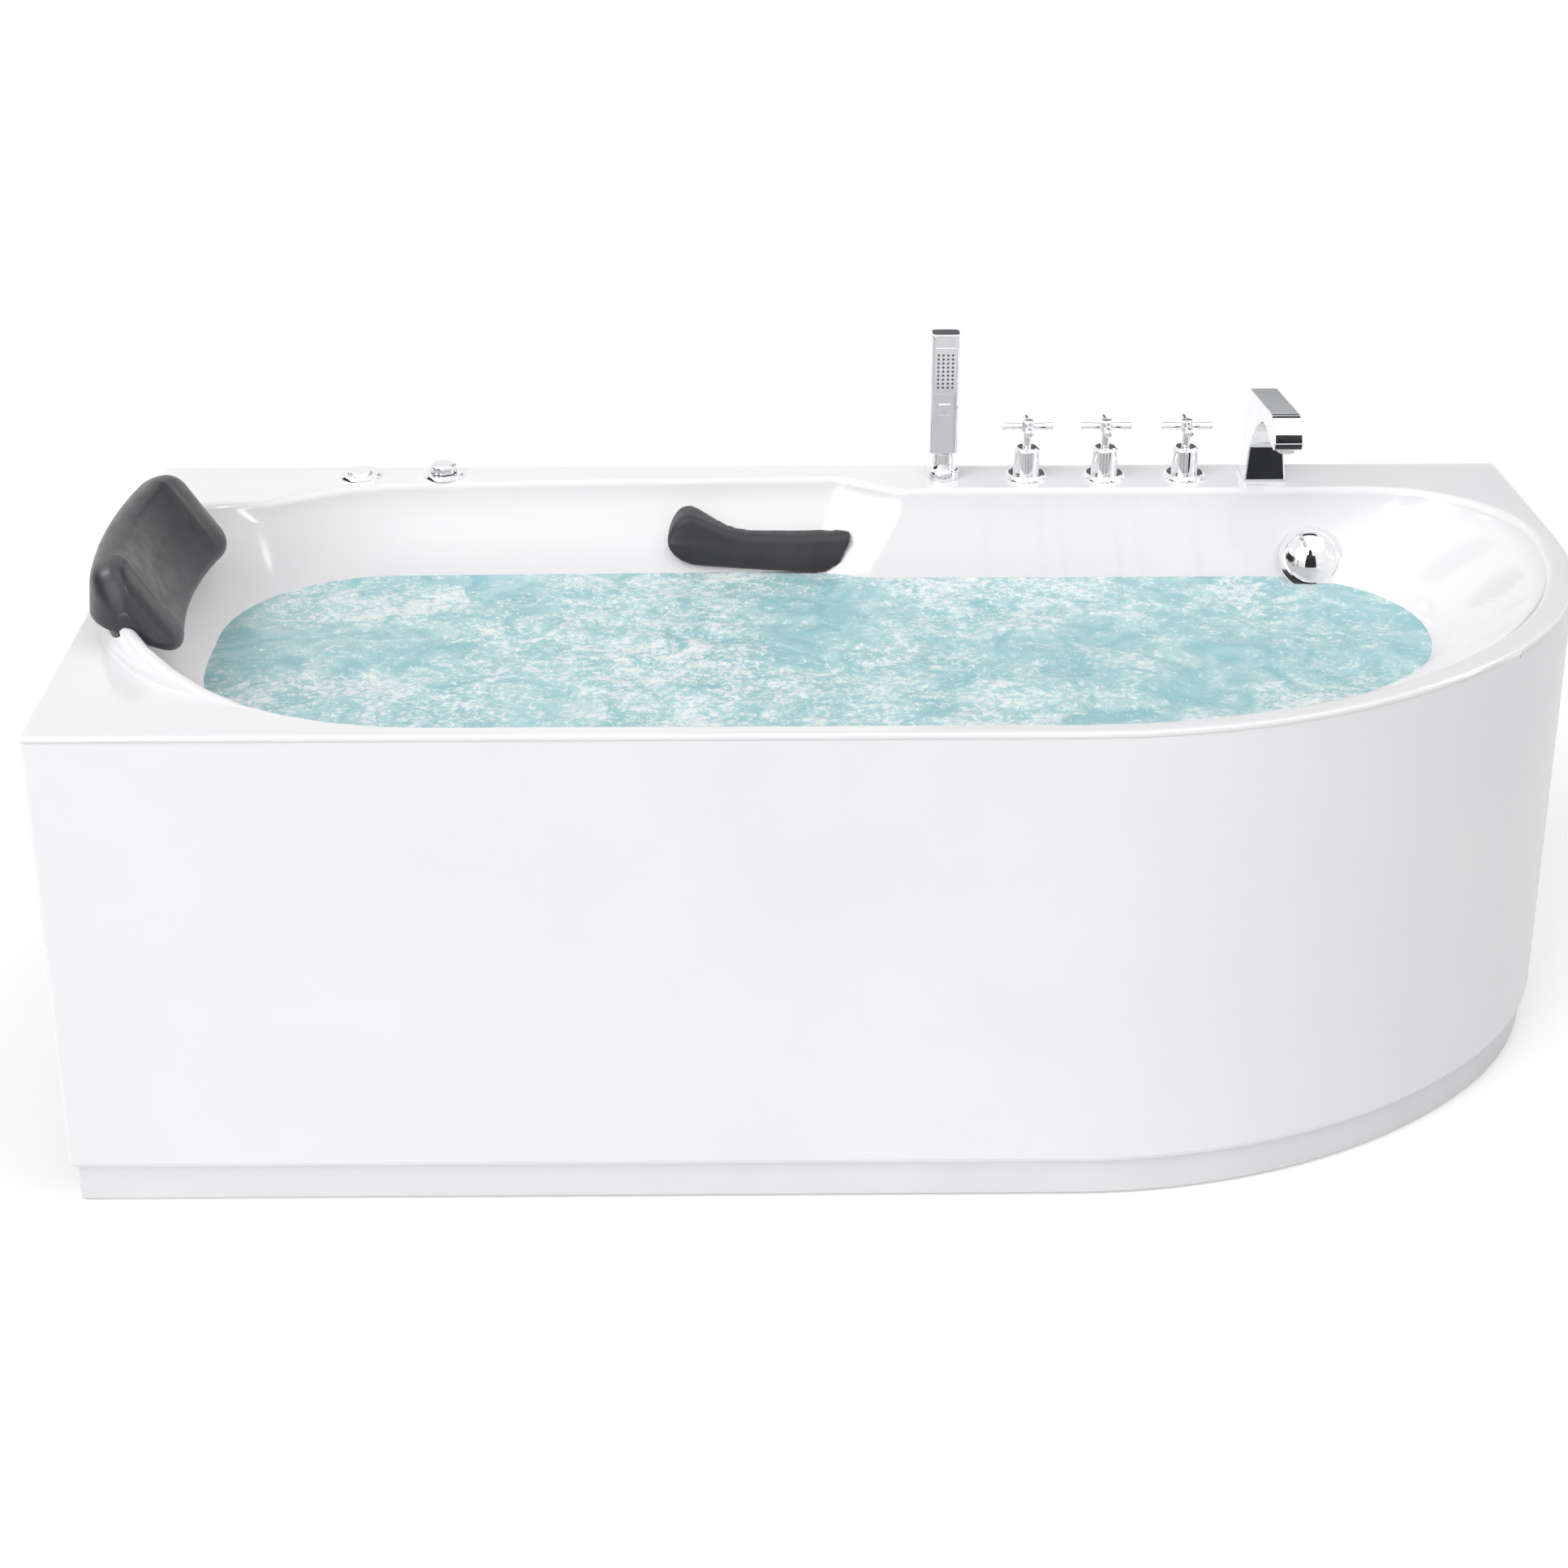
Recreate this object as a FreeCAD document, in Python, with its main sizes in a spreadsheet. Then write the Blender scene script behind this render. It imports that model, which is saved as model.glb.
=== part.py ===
import FreeCAD, Part, Sketcher
import math
import os
import re
from FreeCAD import Placement, Rotation, Vector

# Jetted bathtub, 1700 x 800 mm, for a corner: its rear (+Y) and its head end (-X) stand
# against walls. Front is -Y, the rounded foot end is +X, up is +Z. The origin is on the
# floor, under the middle of the tub. All sizes are millimetres and degrees.

SIZES = {
    # outer plan and heights
    "length": 1700, "width": 800, "deck_top": 562, "deck_thick": 7, "deck_edge": 3,
    "foot_radius": 478, "foot_centre": 140, "foot_turn": 46.4, "foot_lean": 12, "foot_swell": 7.6,
    "corner_radius": 6,
    # basin outline at the rim, the water level, the jets and the floor
    "rim_level": 562, "rim_margin": 21, "rim_rear": 310, "rim_recess": 357, "rim_recess_head": 330,
    "rim_head": 797, "rim_head_front": 350, "rim_head_rear": 280, "rim_corner": 168,
    "water_level": 463, "water_front": 275, "water_rear": 262, "water_recess": 284,
    "water_head": 738, "water_foot": 693, "water_foot_radius": 208, "water_foot_centre": 88,
    "water_head_front": 280, "water_head_rear": 190, "water_corner": 172,
    "low_level": 200, "low_front": 238, "low_rear": 225, "low_head": 590, "low_foot": 636,
    "low_foot_radius": 180, "low_foot_centre": 60, "low_corner_head": 200, "low_corner": 160,
    "floor_level": 118, "floor_round": 34, "basin_steps": 10, "least_straight": 5,
    "crest_rise": 38, "crest_head": 815,
    "recess_start": 78, "recess_end": 2, "recess_round": 34,
    "shell_wall": 5, "collar_base": 32, "collar_top": 9, "collar_end": 640,
    # apron and plinth
    "apron_inset": 0.6, "apron_wall": 4, "apron_bottom": 45, "apron_hem": 12, "apron_curl": 7,
    "plinth_inset": 9, "plinth_wall": 4, "plinth_gap": 3, "end_return": 30,
    # carrying frame
    "tube": 25, "tube_wall": 2, "rail_y": 130, "rail_head": 838, "rail_foot": 645,
    "cradle_head_x": -440, "cradle_middle_x": 20, "cradle_foot_x": 622,
    "cradle_front_y": 392, "cradle_foot_front_y": 250, "cradle_rear_y": 390,
    "front_post_top": 470, "foot_front_y": 300, "foot_rear_y": 320, "foot_front_y_end": 205,
    # levelling feet
    "pad_radius": 25, "pad_height": 10, "stem_radius": 6, "stem_top": 104, "nut_width": 19,
    "nut_height": 10, "stem_play": 0.05,
    # deck fittings: places along the rear deck
    "tap_y": 355, "handset_x": 131, "hot_x": 236, "diverter_x": 334, "cold_x": 435,
    "spout_x": 533, "spout_y": 359, "button_x": -601, "dial_x": -496, "air_y": 366,
    "hole_play": 1, "shank_radius": 14, "back_nut_radius": 21, "back_nut_height": 9,
    # cross-handle valves
    "flange_radius": 27, "flange_height": 6, "bonnet_radius": 16.5, "bonnet_height": 34,
    "valve_depth": 78, "tail_radius": 7.5, "tail_length": 26, "handle_gap": 0.3,
    "stem_neck": 5.5, "hub_radius": 8, "hub_height": 13, "handle_rise": 60,
    "arm_reach": 32.5, "arm_root": 4, "arm_tip": 5, "spindle_radius": 4, "spindle_depth": 12,
    "spindle_play": 0.05,
    # hand shower and its holder
    "holder_radius": 21, "holder_ring": 12, "holder_neck": 13.5, "holder_height": 34,
    "guide_depth": 52, "socket_radius": 9, "socket_play": 0.05, "socket_depth": 22,
    "handset_width": 36, "handset_depth": 26, "handset_length": 155, "handset_round": 5,
    "spray_width": 26, "spray_height": 76, "spray_drop": 12, "spray_lip": 0.8,
    "key_side": 15, "key_drop": 96, "key_proud": 1.6, "key_depth": 7, "key_play": 0.06,
    # bath spout
    "spout_base": 52, "spout_top": 36, "spout_back": 27, "spout_front": 26,
    "spout_rise": 106, "spout_nose": 124, "spout_lip_y": 163, "spout_lip": 98,
    "aerator_radius": 10, "aerator_height": 6,
    # pneumatic button and air control
    "bezel_radius": 27, "bezel_height": 5, "button_radius": 14.5, "button_proud": 2.4,
    "button_play": 0.06, "button_travel": 3, "barrel_radius": 17, "barrel_depth": 44,
    "dial_bezel_radius": 26, "dial_radius": 17, "dial_height": 12, "dial_petals": 8,
    "dial_stem": 5, "dial_play": 0.05,
    # overflow and waste
    "overflow_x": 583, "overflow_z": 486, "overflow_rosette": 40, "overflow_rim": 7,
    "knob_radius": 33, "knob_dome": 17, "knob_edge": 3, "knob_stem": 6, "knob_play": 0.05,
    "waste_x": 470, "waste_flange": 35, "waste_lip": 3,
    "plug_radius": 31, "plug_height": 5, "plug_stem": 4,
    "trap_radius": 26, "trap_bottom": 22, "trap_wall": 4, "waste_pipe": 16,
    "waste_pipe_z": 58, "spigot_radius": 20, "spigot_z": 46, "spigot_y": 250, "spigot_length": 50,
    "overflow_pipe_y": 312, "cable_radius": 3,
    # jets
    "jet_first_x": -340, "jet_step": 225, "jet_z": 300, "jet_rosette": 33, "jet_lip": 3,
    "jet_barrel": 23, "jet_depth": 58, "jet_bore": 17, "jet_bore_depth": 22,
    "nozzle_play": 0.05, "nozzle_proud": 3, "nozzle_hole": 5.5, "nozzle_offset": 5,
    "seat_margin": 3, "seat_proud": 1, "pipe_collar": 4, "collar_length": 34,
    "pressure_radius": 16, "pressure_y": 300, "pressure_drop": 10, "pressure_head_x": 750,
    "air_radius": 6, "air_ring_y": 287, "air_rise": 42, "air_head_x": 790,
    "pipe_play": 0.05, "pipe_overrun": 50, "pipe_bend": 32, "air_bend": 60,
    # suction
    "suction_x": 0, "suction_z": 205, "suction_cover": 48, "suction_depth": 9,
    "suction_radius": 24, "suction_pipe": 20, "suction_run_y": 316, "suction_slots": 8,
    # pump
    "pump_x": -715, "pump_plate": 4, "pump_rise": 76, "motor_radius": 52, "motor_front": -20,
    "motor_rear": 190, "motor_wall": 5, "volute_radius": 58, "volute_length": 62,
    "volute_wall": 7, "shaft_radius": 8, "shaft_play": 0.05, "core_radius": 34,
    "impeller_radius": 42, "impeller_thick": 16, "fan_radius": 40, "inlet_length": 40,
    "discharge_shift": 35, "discharge_radius": 20, "plate_half": 80, "switch_side": 50,
    "switch_x": -708, "switch_y": 150, "tube_radius": 2.5, "tube_z": 366,
    # head pillow and armrest pad
    "pillow_half": 176, "pillow_centre": -8, "pillow_top": 656, "pillow_end_top": 598,
    "pillow_low": 547, "pillow_inner": 739, "pillow_outer": 842, "pillow_flap": 586,
    "soft_gap": 1,
    "pad_start": -213, "pad_end": 14, "pad_low": 459, "pad_top": 509,
    "pad_front": 279, "pad_back": 345, "pad_slant": 30,
}

doc = FreeCAD.newDocument("JettedBathtub")
sheet = doc.addObject("Spreadsheet::Sheet", "Sizes")
for row, (alias, value) in enumerate(SIZES.items(), start=1):
    sheet.set(f"A{row}", alias)
    sheet.set(f"B{row}", str(value))
    sheet.setAlias(f"B{row}", alias)
doc.recompute()


def size(alias):
    """A driving dimension, read back from the sheet."""
    return float(sheet.get(alias))


# ---------------------------------------------------------------- outlines

def rounded_outline(corners, z):
    """A closed wire at height z: straight runs joined by tangent arcs at (x, y, radius)."""
    points = [Vector(x, y, z) for x, y, _ in corners]
    arcs = []
    for i, (_, _, radius) in enumerate(corners):
        here = points[i]
        back = (points[i - 1] - here).normalize()
        ahead = (points[(i + 1) % len(points)] - here).normalize()
        half = back.getAngle(ahead) / 2
        reach = radius / math.tan(half)
        towards = (back + ahead).normalize()
        middle = here + towards * (radius / math.sin(half) - radius)
        arcs.append((here + back * reach, middle, here + ahead * reach))
    edges = []
    for i, (start, middle, end) in enumerate(arcs):
        edges.append(Part.Arc(start, middle, end).toShape())
        edges.append(Part.LineSegment(end, arcs[(i + 1) % len(arcs)][0]).toShape())
    return Part.Wire(edges)


def eased(corners, straight):
    """The corners with their radii eased until a straight this long is left between arcs."""
    points = [Vector(x, y, 0) for x, y, _ in corners]
    count = len(points)
    reaches = []
    for i, (_, _, radius) in enumerate(corners):
        half = (points[i - 1] - points[i]).getAngle(points[(i + 1) % count] - points[i]) / 2
        reaches.append(radius / math.tan(half))
    shares = [1.0] * count
    for i in range(count):
        ahead = (i + 1) % count
        room = (points[ahead] - points[i]).Length - straight
        share = room / (reaches[i] + reaches[ahead])
        shares[i] = min(shares[i], share)
        shares[ahead] = min(shares[ahead], share)
    return [(x, y, radius * share) for (x, y, radius), share in zip(corners, shares)]


def foot_corners(front, foot, radius, centre):
    """The two corners of the rounded foot end: a wide sweep, then a tighter one."""
    turn = math.radians(size("foot_turn"))
    rest = math.radians(90) - turn
    join_x = foot - radius + radius * math.cos(rest)
    join_y = centre - radius * math.sin(rest)
    run = (join_y - front) / math.sin(turn)
    sweep = run / math.tan(turn / 2)
    near = (join_x - run * math.cos(turn), front, sweep * 0.998)
    far = (foot, centre - radius * math.tan(rest / 2), radius * 0.996)
    return near, far


def deck_corners(inset):
    """Outer plan of the tub, drawn in by inset: square head end, rounded foot end."""
    half_length = size("length") / 2
    half_width = size("width") / 2
    near, far = foot_corners(
        inset - half_width, half_length + size("foot_swell") - inset,
        size("foot_radius") + 2 - inset, size("foot_centre")
    )
    corner = max(size("corner_radius") - inset, 1)
    rest = math.radians(90 - size("foot_turn"))
    lean = math.atan2(size("foot_lean") + size("foot_swell"), half_width - inset - far[1])
    far = (far[0], far[1], far[2] * math.tan(rest / 2) / math.tan((rest + lean) / 2))
    return [
        (inset - half_length, inset - half_width, corner),
        near,
        far,
        (half_length - size("foot_lean") - inset, half_width - inset, corner),
        (inset - half_length, half_width - inset, corner),
    ]


def deck_outline(inset, z):
    return rounded_outline(deck_corners(inset), z)


def blend_levels(low, high, share):
    """A basin outline between two levels' corner lists."""
    return [
        tuple(a + (b - a) * share for a, b in zip(first, second))
        for first, second in zip(low, high)
    ]


def basin_corners(front, rear, recess, recess_head, head, foot, foot_radius, foot_centre,
                  head_front, head_rear, corner, shift):
    """Corners of the basin: head front, foot sweep, foot rear, armrest step, head rear."""
    near, far = foot_corners(-front, foot, foot_radius, foot_centre)
    step = size("recess_round")
    return [
        (-head, -front, head_front),
        near,
        far,
        (foot, rear, corner),
        (size("recess_start") - shift, rear, step),
        (size("recess_end") - shift, recess, step),
        (-head, recess_head, head_rear),
    ]


def grown(corners, wall):
    """The basin outline moved outwards by wall, each corner along its own bisector."""
    points = [Vector(x, y, 0) for x, y, _ in corners]
    moved = []
    for i, (x, y, radius) in enumerate(corners):
        back = (points[i - 1] - points[i]).normalize()
        ahead = (points[(i + 1) % len(points)] - points[i]).normalize()
        half = back.getAngle(ahead) / 2
        outwards = (back + ahead).normalize() * -1
        turns_in = ahead.cross(back).z < 0
        if turns_in:
            outwards = outwards * -1
        place = points[i] + outwards * (wall / math.sin(half))
        change = -wall if turns_in else wall
        moved.append((place.x, place.y, max(radius + change, size("recess_round") / 2)))
    return moved


RIM = basin_corners(
    size("width") / 2 - size("rim_margin"), size("rim_rear"), size("rim_recess"),
    size("rim_recess_head"), size("rim_head"), size("length") / 2 - size("rim_margin"),
    size("foot_radius") + 2 - size("rim_margin"), size("foot_centre"),
    size("rim_head_front"), size("rim_head_rear"), size("rim_corner"), 0)
WATER = basin_corners(
    size("water_front"), size("water_rear"), size("water_recess"), size("water_recess") - 12,
    size("water_head"), size("water_foot"), size("water_foot_radius"), size("water_foot_centre"),
    size("water_head_front"), size("water_head_rear"), size("water_corner"), 40)
LOW = basin_corners(
    size("low_front"), size("low_rear"), size("low_rear") + 3, size("low_rear") + 1,
    size("low_head"), size("low_foot"), size("low_foot_radius"), size("low_foot_centre"),
    size("low_corner_head"), size("low_corner_head"), size("low_corner"), 60)
CREST = basin_corners(
    size("width") / 2 - 8, size("rim_rear") + 14, size("rim_recess") + 12,
    size("rim_recess_head") + 12, size("crest_head"), size("length") / 2 - 8,
    size("foot_radius") + 2 - 8, size("foot_centre"),
    size("rim_head_front"), size("rim_head_rear"), size("rim_corner"), 0)


def smooth_between(heights, values, z):
    """A curve through (height, value) pairs that never swings past them."""
    runs = [b - a for a, b in zip(heights, heights[1:])]
    rises = [(b - a) / run for a, b, run in zip(values, values[1:], runs)]
    slopes = [rises[0]]
    for before, after in zip(rises, rises[1:]):
        slopes.append(2 * before * after / (before + after) if before * after > 0 else 0)
    slopes.append(rises[-1])
    i = max(k for k in range(len(runs)) if z >= heights[k] or k == 0)
    run = runs[i]
    along = (z - heights[i]) / run
    return (values[i] * (1 + 2 * along) * (1 - along) ** 2
            + slopes[i] * run * along * (1 - along) ** 2
            + values[i + 1] * along ** 2 * (3 - 2 * along)
            + slopes[i + 1] * run * along ** 2 * (along - 1))


def basin_corners_at(z):
    """The basin's outline at any height from the floor's rounding to above the rim."""
    low, water, rim = size("low_level"), size("water_level"), size("rim_level")
    start = size("floor_level") + size("floor_round")
    heights = [start, low, water, rim, rim + size("crest_rise") + 12]
    bottom = blend_levels(LOW, WATER, (start - low) / (water - low) * 0.6)
    lists = [bottom, LOW, WATER, RIM, CREST]
    corners = [
        tuple(smooth_between(heights, [corners[i][k] for corners in lists], z) for k in range(3))
        for i in range(len(LOW))
    ]
    return eased(corners, size("least_straight"))


def basin_solid(wall):
    """The basin's inside, swollen by wall: evenly spaced sections over a rounded floor edge."""
    start = size("floor_level") + size("floor_round")
    end = size("rim_level") + size("crest_rise") + 12
    steps = int(size("basin_steps"))
    sides = []
    for number in range(steps + 1):
        z = start + (end - start) * number / steps
        sides.append(rounded_outline(grown(basin_corners_at(z), wall), z))
    bowl = []
    radius = size("floor_round") + wall
    for angle in (0, 22.5, 45, 67.5, 90):
        turn = math.radians(angle)
        corners = grown(basin_corners_at(start), wall - radius * (1 - math.sin(turn)))
        bowl.append(rounded_outline(corners, start - radius * math.cos(turn)))
    return Part.makeLoft(bowl, True, False).fuse(Part.makeLoft(sides, True, False))


# ---------------------------------------------------------------- building helpers

NODES = {}


def text(expression):
    """The expression with the sheet's name put before each of its aliases."""
    def named(match):
        word = match.group(0)
        return "Sizes." + word if word in SIZES else word
    return re.sub(r"[a-z][a-z_0-9]*", named, str(expression))


def bind(thing, **sizes):
    for name, expression in sizes.items():
        thing.setExpression(name, text(expression))
    return thing


def place(thing, x, y, z, turn=None):
    """Sets a piece down at an expression for each axis, turned first where it has to be."""
    thing.Placement = Placement(Vector(), turn or Rotation())
    for axis, expression in zip("xyz", (x, y, z)):
        thing.setExpression(f"Placement.Base.{axis}", text(expression))
    return thing


FORWARD = Rotation(Vector(1, 0, 0), 90)
BACKWARD = Rotation(Vector(1, 0, 0), -90)
SIDEWAYS = Rotation(Vector(0, 1, 0), 90)


def cylinder(radius, height, x=0, y=0, z=0, turn=None):
    thing = bind(doc.addObject("Part::Cylinder", "Cylinder"), Radius=radius, Height=height)
    return place(thing, x, y, z, turn)


def cone(low_radius, high_radius, height, x=0, y=0, z=0, turn=None):
    thing = doc.addObject("Part::Cone", "Cone")
    bind(thing, Radius1=low_radius, Radius2=high_radius, Height=height)
    return place(thing, x, y, z, turn)


def box(long, deep, high, x=0, y=0, z=0, turn=None):
    """A block from its lowest corner."""
    thing = bind(doc.addObject("Part::Box", "Box"), Length=long, Width=deep, Height=high)
    return place(thing, x, y, z, turn)


def hexagon(width, height, x=0, y=0, z=0):
    thing = doc.addObject("Part::Prism", "Prism")
    thing.Polygon = 6
    bind(thing, Circumradius=f"({width}) / 2 / cos(30)", Height=height)
    return place(thing, x, y, z)


def cut(base, *tools):
    for tool in tools:
        result = doc.addObject("Part::Cut", "Cut")
        result.Base = base
        result.Tool = tool
        base = result
    return base


def fuse(*parts):
    result = doc.addObject("Part::MultiFuse", "Fuse")
    result.Shapes = list(parts)
    return result


def group(*parts):
    """Several separate solids that make one node, such as a set of like fasteners."""
    result = doc.addObject("Part::Compound", "Group")
    result.Links = list(parts)
    return result


def shaped(shape, name="Shaped"):
    """A piece whose form is worked out from the sheet's sizes in this file."""
    thing = doc.addObject("Part::Feature", name)
    thing.Shape = shape
    return thing


def rounded(base, radius, wanted):
    """Rounds the edges of base for which wanted(edge) is true."""
    doc.recompute()
    numbers = [i for i, edge in enumerate(base.Shape.Edges, start=1) if wanted(edge)]
    result = doc.addObject("Part::Fillet", "Fillet")
    result.Base = base
    result.Edges = [(number, size(radius), size(radius)) for number in numbers]
    return result


def turned(name, profile, x=0, y=0, z=0):
    """A body turned about an upright axis from (radius, height) points, heights from 0 up."""
    body = doc.addObject("PartDesign::Body", name)
    sketch = body.newObject("Sketcher::SketchObject", name + "Profile")
    plane = [part for part in body.Origin.OriginFeatures if part.Role == "XZ_Plane"][0]
    sketch.AttachmentSupport = (plane, [""])
    sketch.MapMode = "FlatFace"
    points = [Vector(*[float(sheet.evalExpression(text(value))) for value in pair], 0)
              for pair in profile]
    for start, end in zip(points, points[1:] + points[:1]):
        sketch.addGeometry(Part.LineSegment(start, end), False)
    for i, (radius, height) in enumerate(profile):
        sketch.addConstraint(Sketcher.Constraint("Coincident", i - 1 if i else len(points) - 1, 2, i, 1))
        for kind, axis, value in (("DistanceX", -2, radius), ("DistanceY", -1, height)):
            if value == 0:
                sketch.addConstraint(Sketcher.Constraint("PointOnObject", i, 1, axis))
                continue
            distance = points[i].x if kind == "DistanceX" else points[i].y
            number = sketch.addConstraint(Sketcher.Constraint(kind, -1, 1, i, 1, distance))
            sketch.setExpression(f"Constraints[{number}]", text(value))
    turn = body.newObject("PartDesign::Revolution", name + "Turn")
    turn.Profile = sketch
    turn.ReferenceAxis = (sketch, ["V_Axis"])
    turn.Angle = 360
    return place(body, x, y, z)


def node(name, thing):
    """Gives a finished piece its name, which is also its file's name."""
    thing.Label = name
    NODES[name] = thing
    return thing


def pipe(points, radius, bends):
    """A round pipe through the points: straight runs joined by tangent bends."""
    corners = [Vector(*point) for point in points]
    edges = []
    start = corners[0]
    for i in range(1, len(corners) - 1):
        here = corners[i]
        back = (corners[i - 1] - here).normalize()
        ahead = (corners[i + 1] - here).normalize()
        half = back.getAngle(ahead) / 2
        reach = bends / math.tan(half)
        towards = (back + ahead).normalize()
        first = here + back * reach
        last = here + ahead * reach
        middle = here + towards * (bends / math.sin(half) - bends)
        edges.append(Part.LineSegment(start, first).toShape())
        edges.append(Part.Arc(first, middle, last).toShape())
        start = last
    edges.append(Part.LineSegment(start, corners[-1]).toShape())
    path = Part.Wire(edges)
    direction = corners[1] - corners[0]
    ring = Part.Wire(Part.Circle(corners[0], direction, radius).toShape())
    return path.makePipeShell([ring], True, False)


# ---------------------------------------------------------------- tub shell

def deck_block():
    """The flat deck, with its outer top edge rounded in three narrow bands."""
    low = size("deck_top") - size("deck_thick")
    top = size("deck_top")
    edge = size("deck_edge")
    bands = [(0, low), (0, top - edge), (edge * 0.29, top - edge * 0.29), (edge, top)]
    return Part.makeLoft([deck_outline(inset, z) for inset, z in bands], True, True)


def collar_solid(grow=0.0):
    """The raised head rim: it swells out of the deck and falls away at both its ends."""
    low = size("deck_top") - size("deck_thick")
    top = size("deck_top") + size("crest_rise") + grow
    foot = rounded_outline(grown(RIM, size("collar_base") + grow), low)
    waist = rounded_outline(grown(RIM, size("collar_base") * 0.55 + grow), (low + 2 * top) / 3)
    crest = rounded_outline(grown(CREST, size("collar_top") + grow), top)
    swell = Part.makeLoft([foot, waist, crest], True, False)
    half = size("width")
    end = size("collar_end")
    head = size("length") / 2
    ramp_top = size("deck_top") + grow
    profile = Part.makePolygon([
        Vector(-end, -half, low), Vector(-head, -half, low), Vector(-head, -half, top),
        Vector(-size("crest_head"), -half, top), Vector(-end, -half, ramp_top - 0.5),
        Vector(-end, -half, low)])
    keep = Part.Face(profile).extrude(Vector(0, 2 * half, 0))
    return swell.common(keep)


def wall_at(x, z, side):
    """Where the basin's inner face is at x and z, going towards side, and its tilt."""
    heights = (z - 12, z, z + 12)
    hits = []
    for height in heights:
        ray = Part.LineSegment(Vector(x, 0, height), Vector(x, side * 600, height)).toShape()
        hits.append(CAVITY.common(ray).BoundBox.YMax if side > 0 else CAVITY.common(ray).BoundBox.YMin)
    tilt = math.degrees(math.atan2(abs(hits[2]) - abs(hits[0]), heights[2] - heights[0]))
    return hits[1], tilt


def wall_seat(x, z, side):
    """A place on the basin wall, with +Z of the fitting pointing into the tub."""
    y, tilt = wall_at(x, z, side)
    turn = Rotation(Vector(1, 0, 0), side * (90 - tilt))
    return Placement(Vector(x, y - side * size("seat_proud"), z), turn)


def turned_disc(spot, radius, start, end):
    """A disc or barrel about a wall fitting's axis, from start to end along it."""
    disc = Part.makeCylinder(radius, end - start, Vector(0, 0, start))
    disc.Placement = spot.multiply(disc.Placement)
    return disc


CAVITY = basin_solid(0)
JET_SPOTS = []
for side in (-1, 1):
    for number in range(3):
        spot_x = size("jet_first_x") + number * size("jet_step")
        JET_SPOTS.append(wall_seat(spot_x, size("jet_z"), side))
SUCTION_SPOT = wall_seat(size("suction_x"), size("suction_z"), -1)
OVERFLOW_SPOT = wall_seat(size("overflow_x"), size("overflow_z"), 1)


def deck_hole(x, y, radius):
    deep = size("deck_thick") * 3
    return Part.makeCylinder(radius, deep, Vector(x, y, size("deck_top") - 2 * size("deck_thick")))


def tub_shape():
    below = Part.makeBox(2 * size("length"), 2 * size("width"), size("deck_top") - 1,
                         Vector(-size("length"), -size("width"), 0))
    outer = basin_solid(size("shell_wall")).common(below)
    body = deck_block().fuse([outer, collar_solid()]).cut(CAVITY)
    seats = [(spot, size("jet_rosette") + size("seat_margin"), size("jet_barrel")) for spot in JET_SPOTS]
    seats.append((SUCTION_SPOT, size("suction_cover") + size("seat_margin"), size("suction_radius")))
    seats.append((OVERFLOW_SPOT, size("overflow_rosette") + size("seat_margin"), size("waste_pipe")))
    behind = size("shell_wall") + size("seat_proud") + 3
    backings = [turned_disc(spot, radius + 4, -behind, 8).cut(CAVITY) for spot, radius, _ in seats]
    discs = [turned_disc(spot, radius, -behind, 0) for spot, radius, _ in seats]
    body = body.fuse(backings + discs)
    pockets = [turned_disc(spot, radius, 0, 24) for spot, radius, _ in seats]
    body = body.cut(pockets)
    holes = [turned_disc(spot, hole, -2 * behind, behind) for spot, _, hole in seats]
    play = size("hole_play")
    for name in ("handset_x", "hot_x", "diverter_x", "cold_x"):
        holes.append(deck_hole(size(name), size("tap_y"), size("shank_radius") + play))
    holes.append(deck_hole(size("spout_x"), size("spout_y"), size("shank_radius") + play))
    for name in ("button_x", "dial_x"):
        holes.append(deck_hole(size(name), size("air_y"), size("barrel_radius") + play))
    floor = size("floor_level")
    holes.append(Part.makeCylinder(size("trap_radius") - size("trap_wall"), 40,
                                   Vector(size("waste_x"), 0, floor - 20)))
    return body.cut(holes)


tub = node("tub_shell", shaped(tub_shape(), "TubShell"))

# ---------------------------------------------------------------- apron and plinth

def skirt(bands, inner_shift):
    """A thin wall that follows the deck's plan through (inset, height) bands."""
    outer = Part.makeLoft([deck_outline(inset, z) for inset, z in bands], True, True)
    inner = Part.makeLoft([deck_outline(inset + inner_shift, z) for inset, z in bands], True, True)
    return outer, inner


def wall_sides(low, high):
    """The space beside the two walls, where apron and plinth leave the tub open."""
    half_length = size("length") / 2
    half_width = size("width") / 2
    back = size("end_return")
    head = Part.makeBox(half_length, 2 * half_width, high - low + 2,
                        Vector(-2 * half_length + back + 0.01, back - half_width, low - 1))
    head.translate(Vector(half_length - back, 0, 0))
    rear = Part.makeBox(2 * half_length - size("foot_lean") - back, half_width / 2, high - low + 2,
                        Vector(-half_length - 1, half_width - back, low - 1))
    return [head, rear]


def apron_shape():
    low = size("apron_bottom")
    top = size("deck_top") - size("deck_thick")
    inset = size("apron_inset")
    curl = size("apron_curl")
    wall = size("apron_wall")
    bands = [(inset + curl, low), (inset + curl * 0.3, low + curl * 0.3), (inset, low + curl),
             (inset, top)]
    outer, inner = skirt(bands, wall)
    hem_inner = Part.Face(deck_outline(inset + curl + size("apron_hem"), low)).extrude(
        Vector(0, 0, wall))
    lower = Part.makeBox(2 * size("length"), 2 * size("width"), wall,
                         Vector(-size("length"), -size("width"), low))
    hem = outer.common(lower).cut(hem_inner)
    return outer.cut(inner).fuse(hem).cut(wall_sides(low, top))


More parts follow.
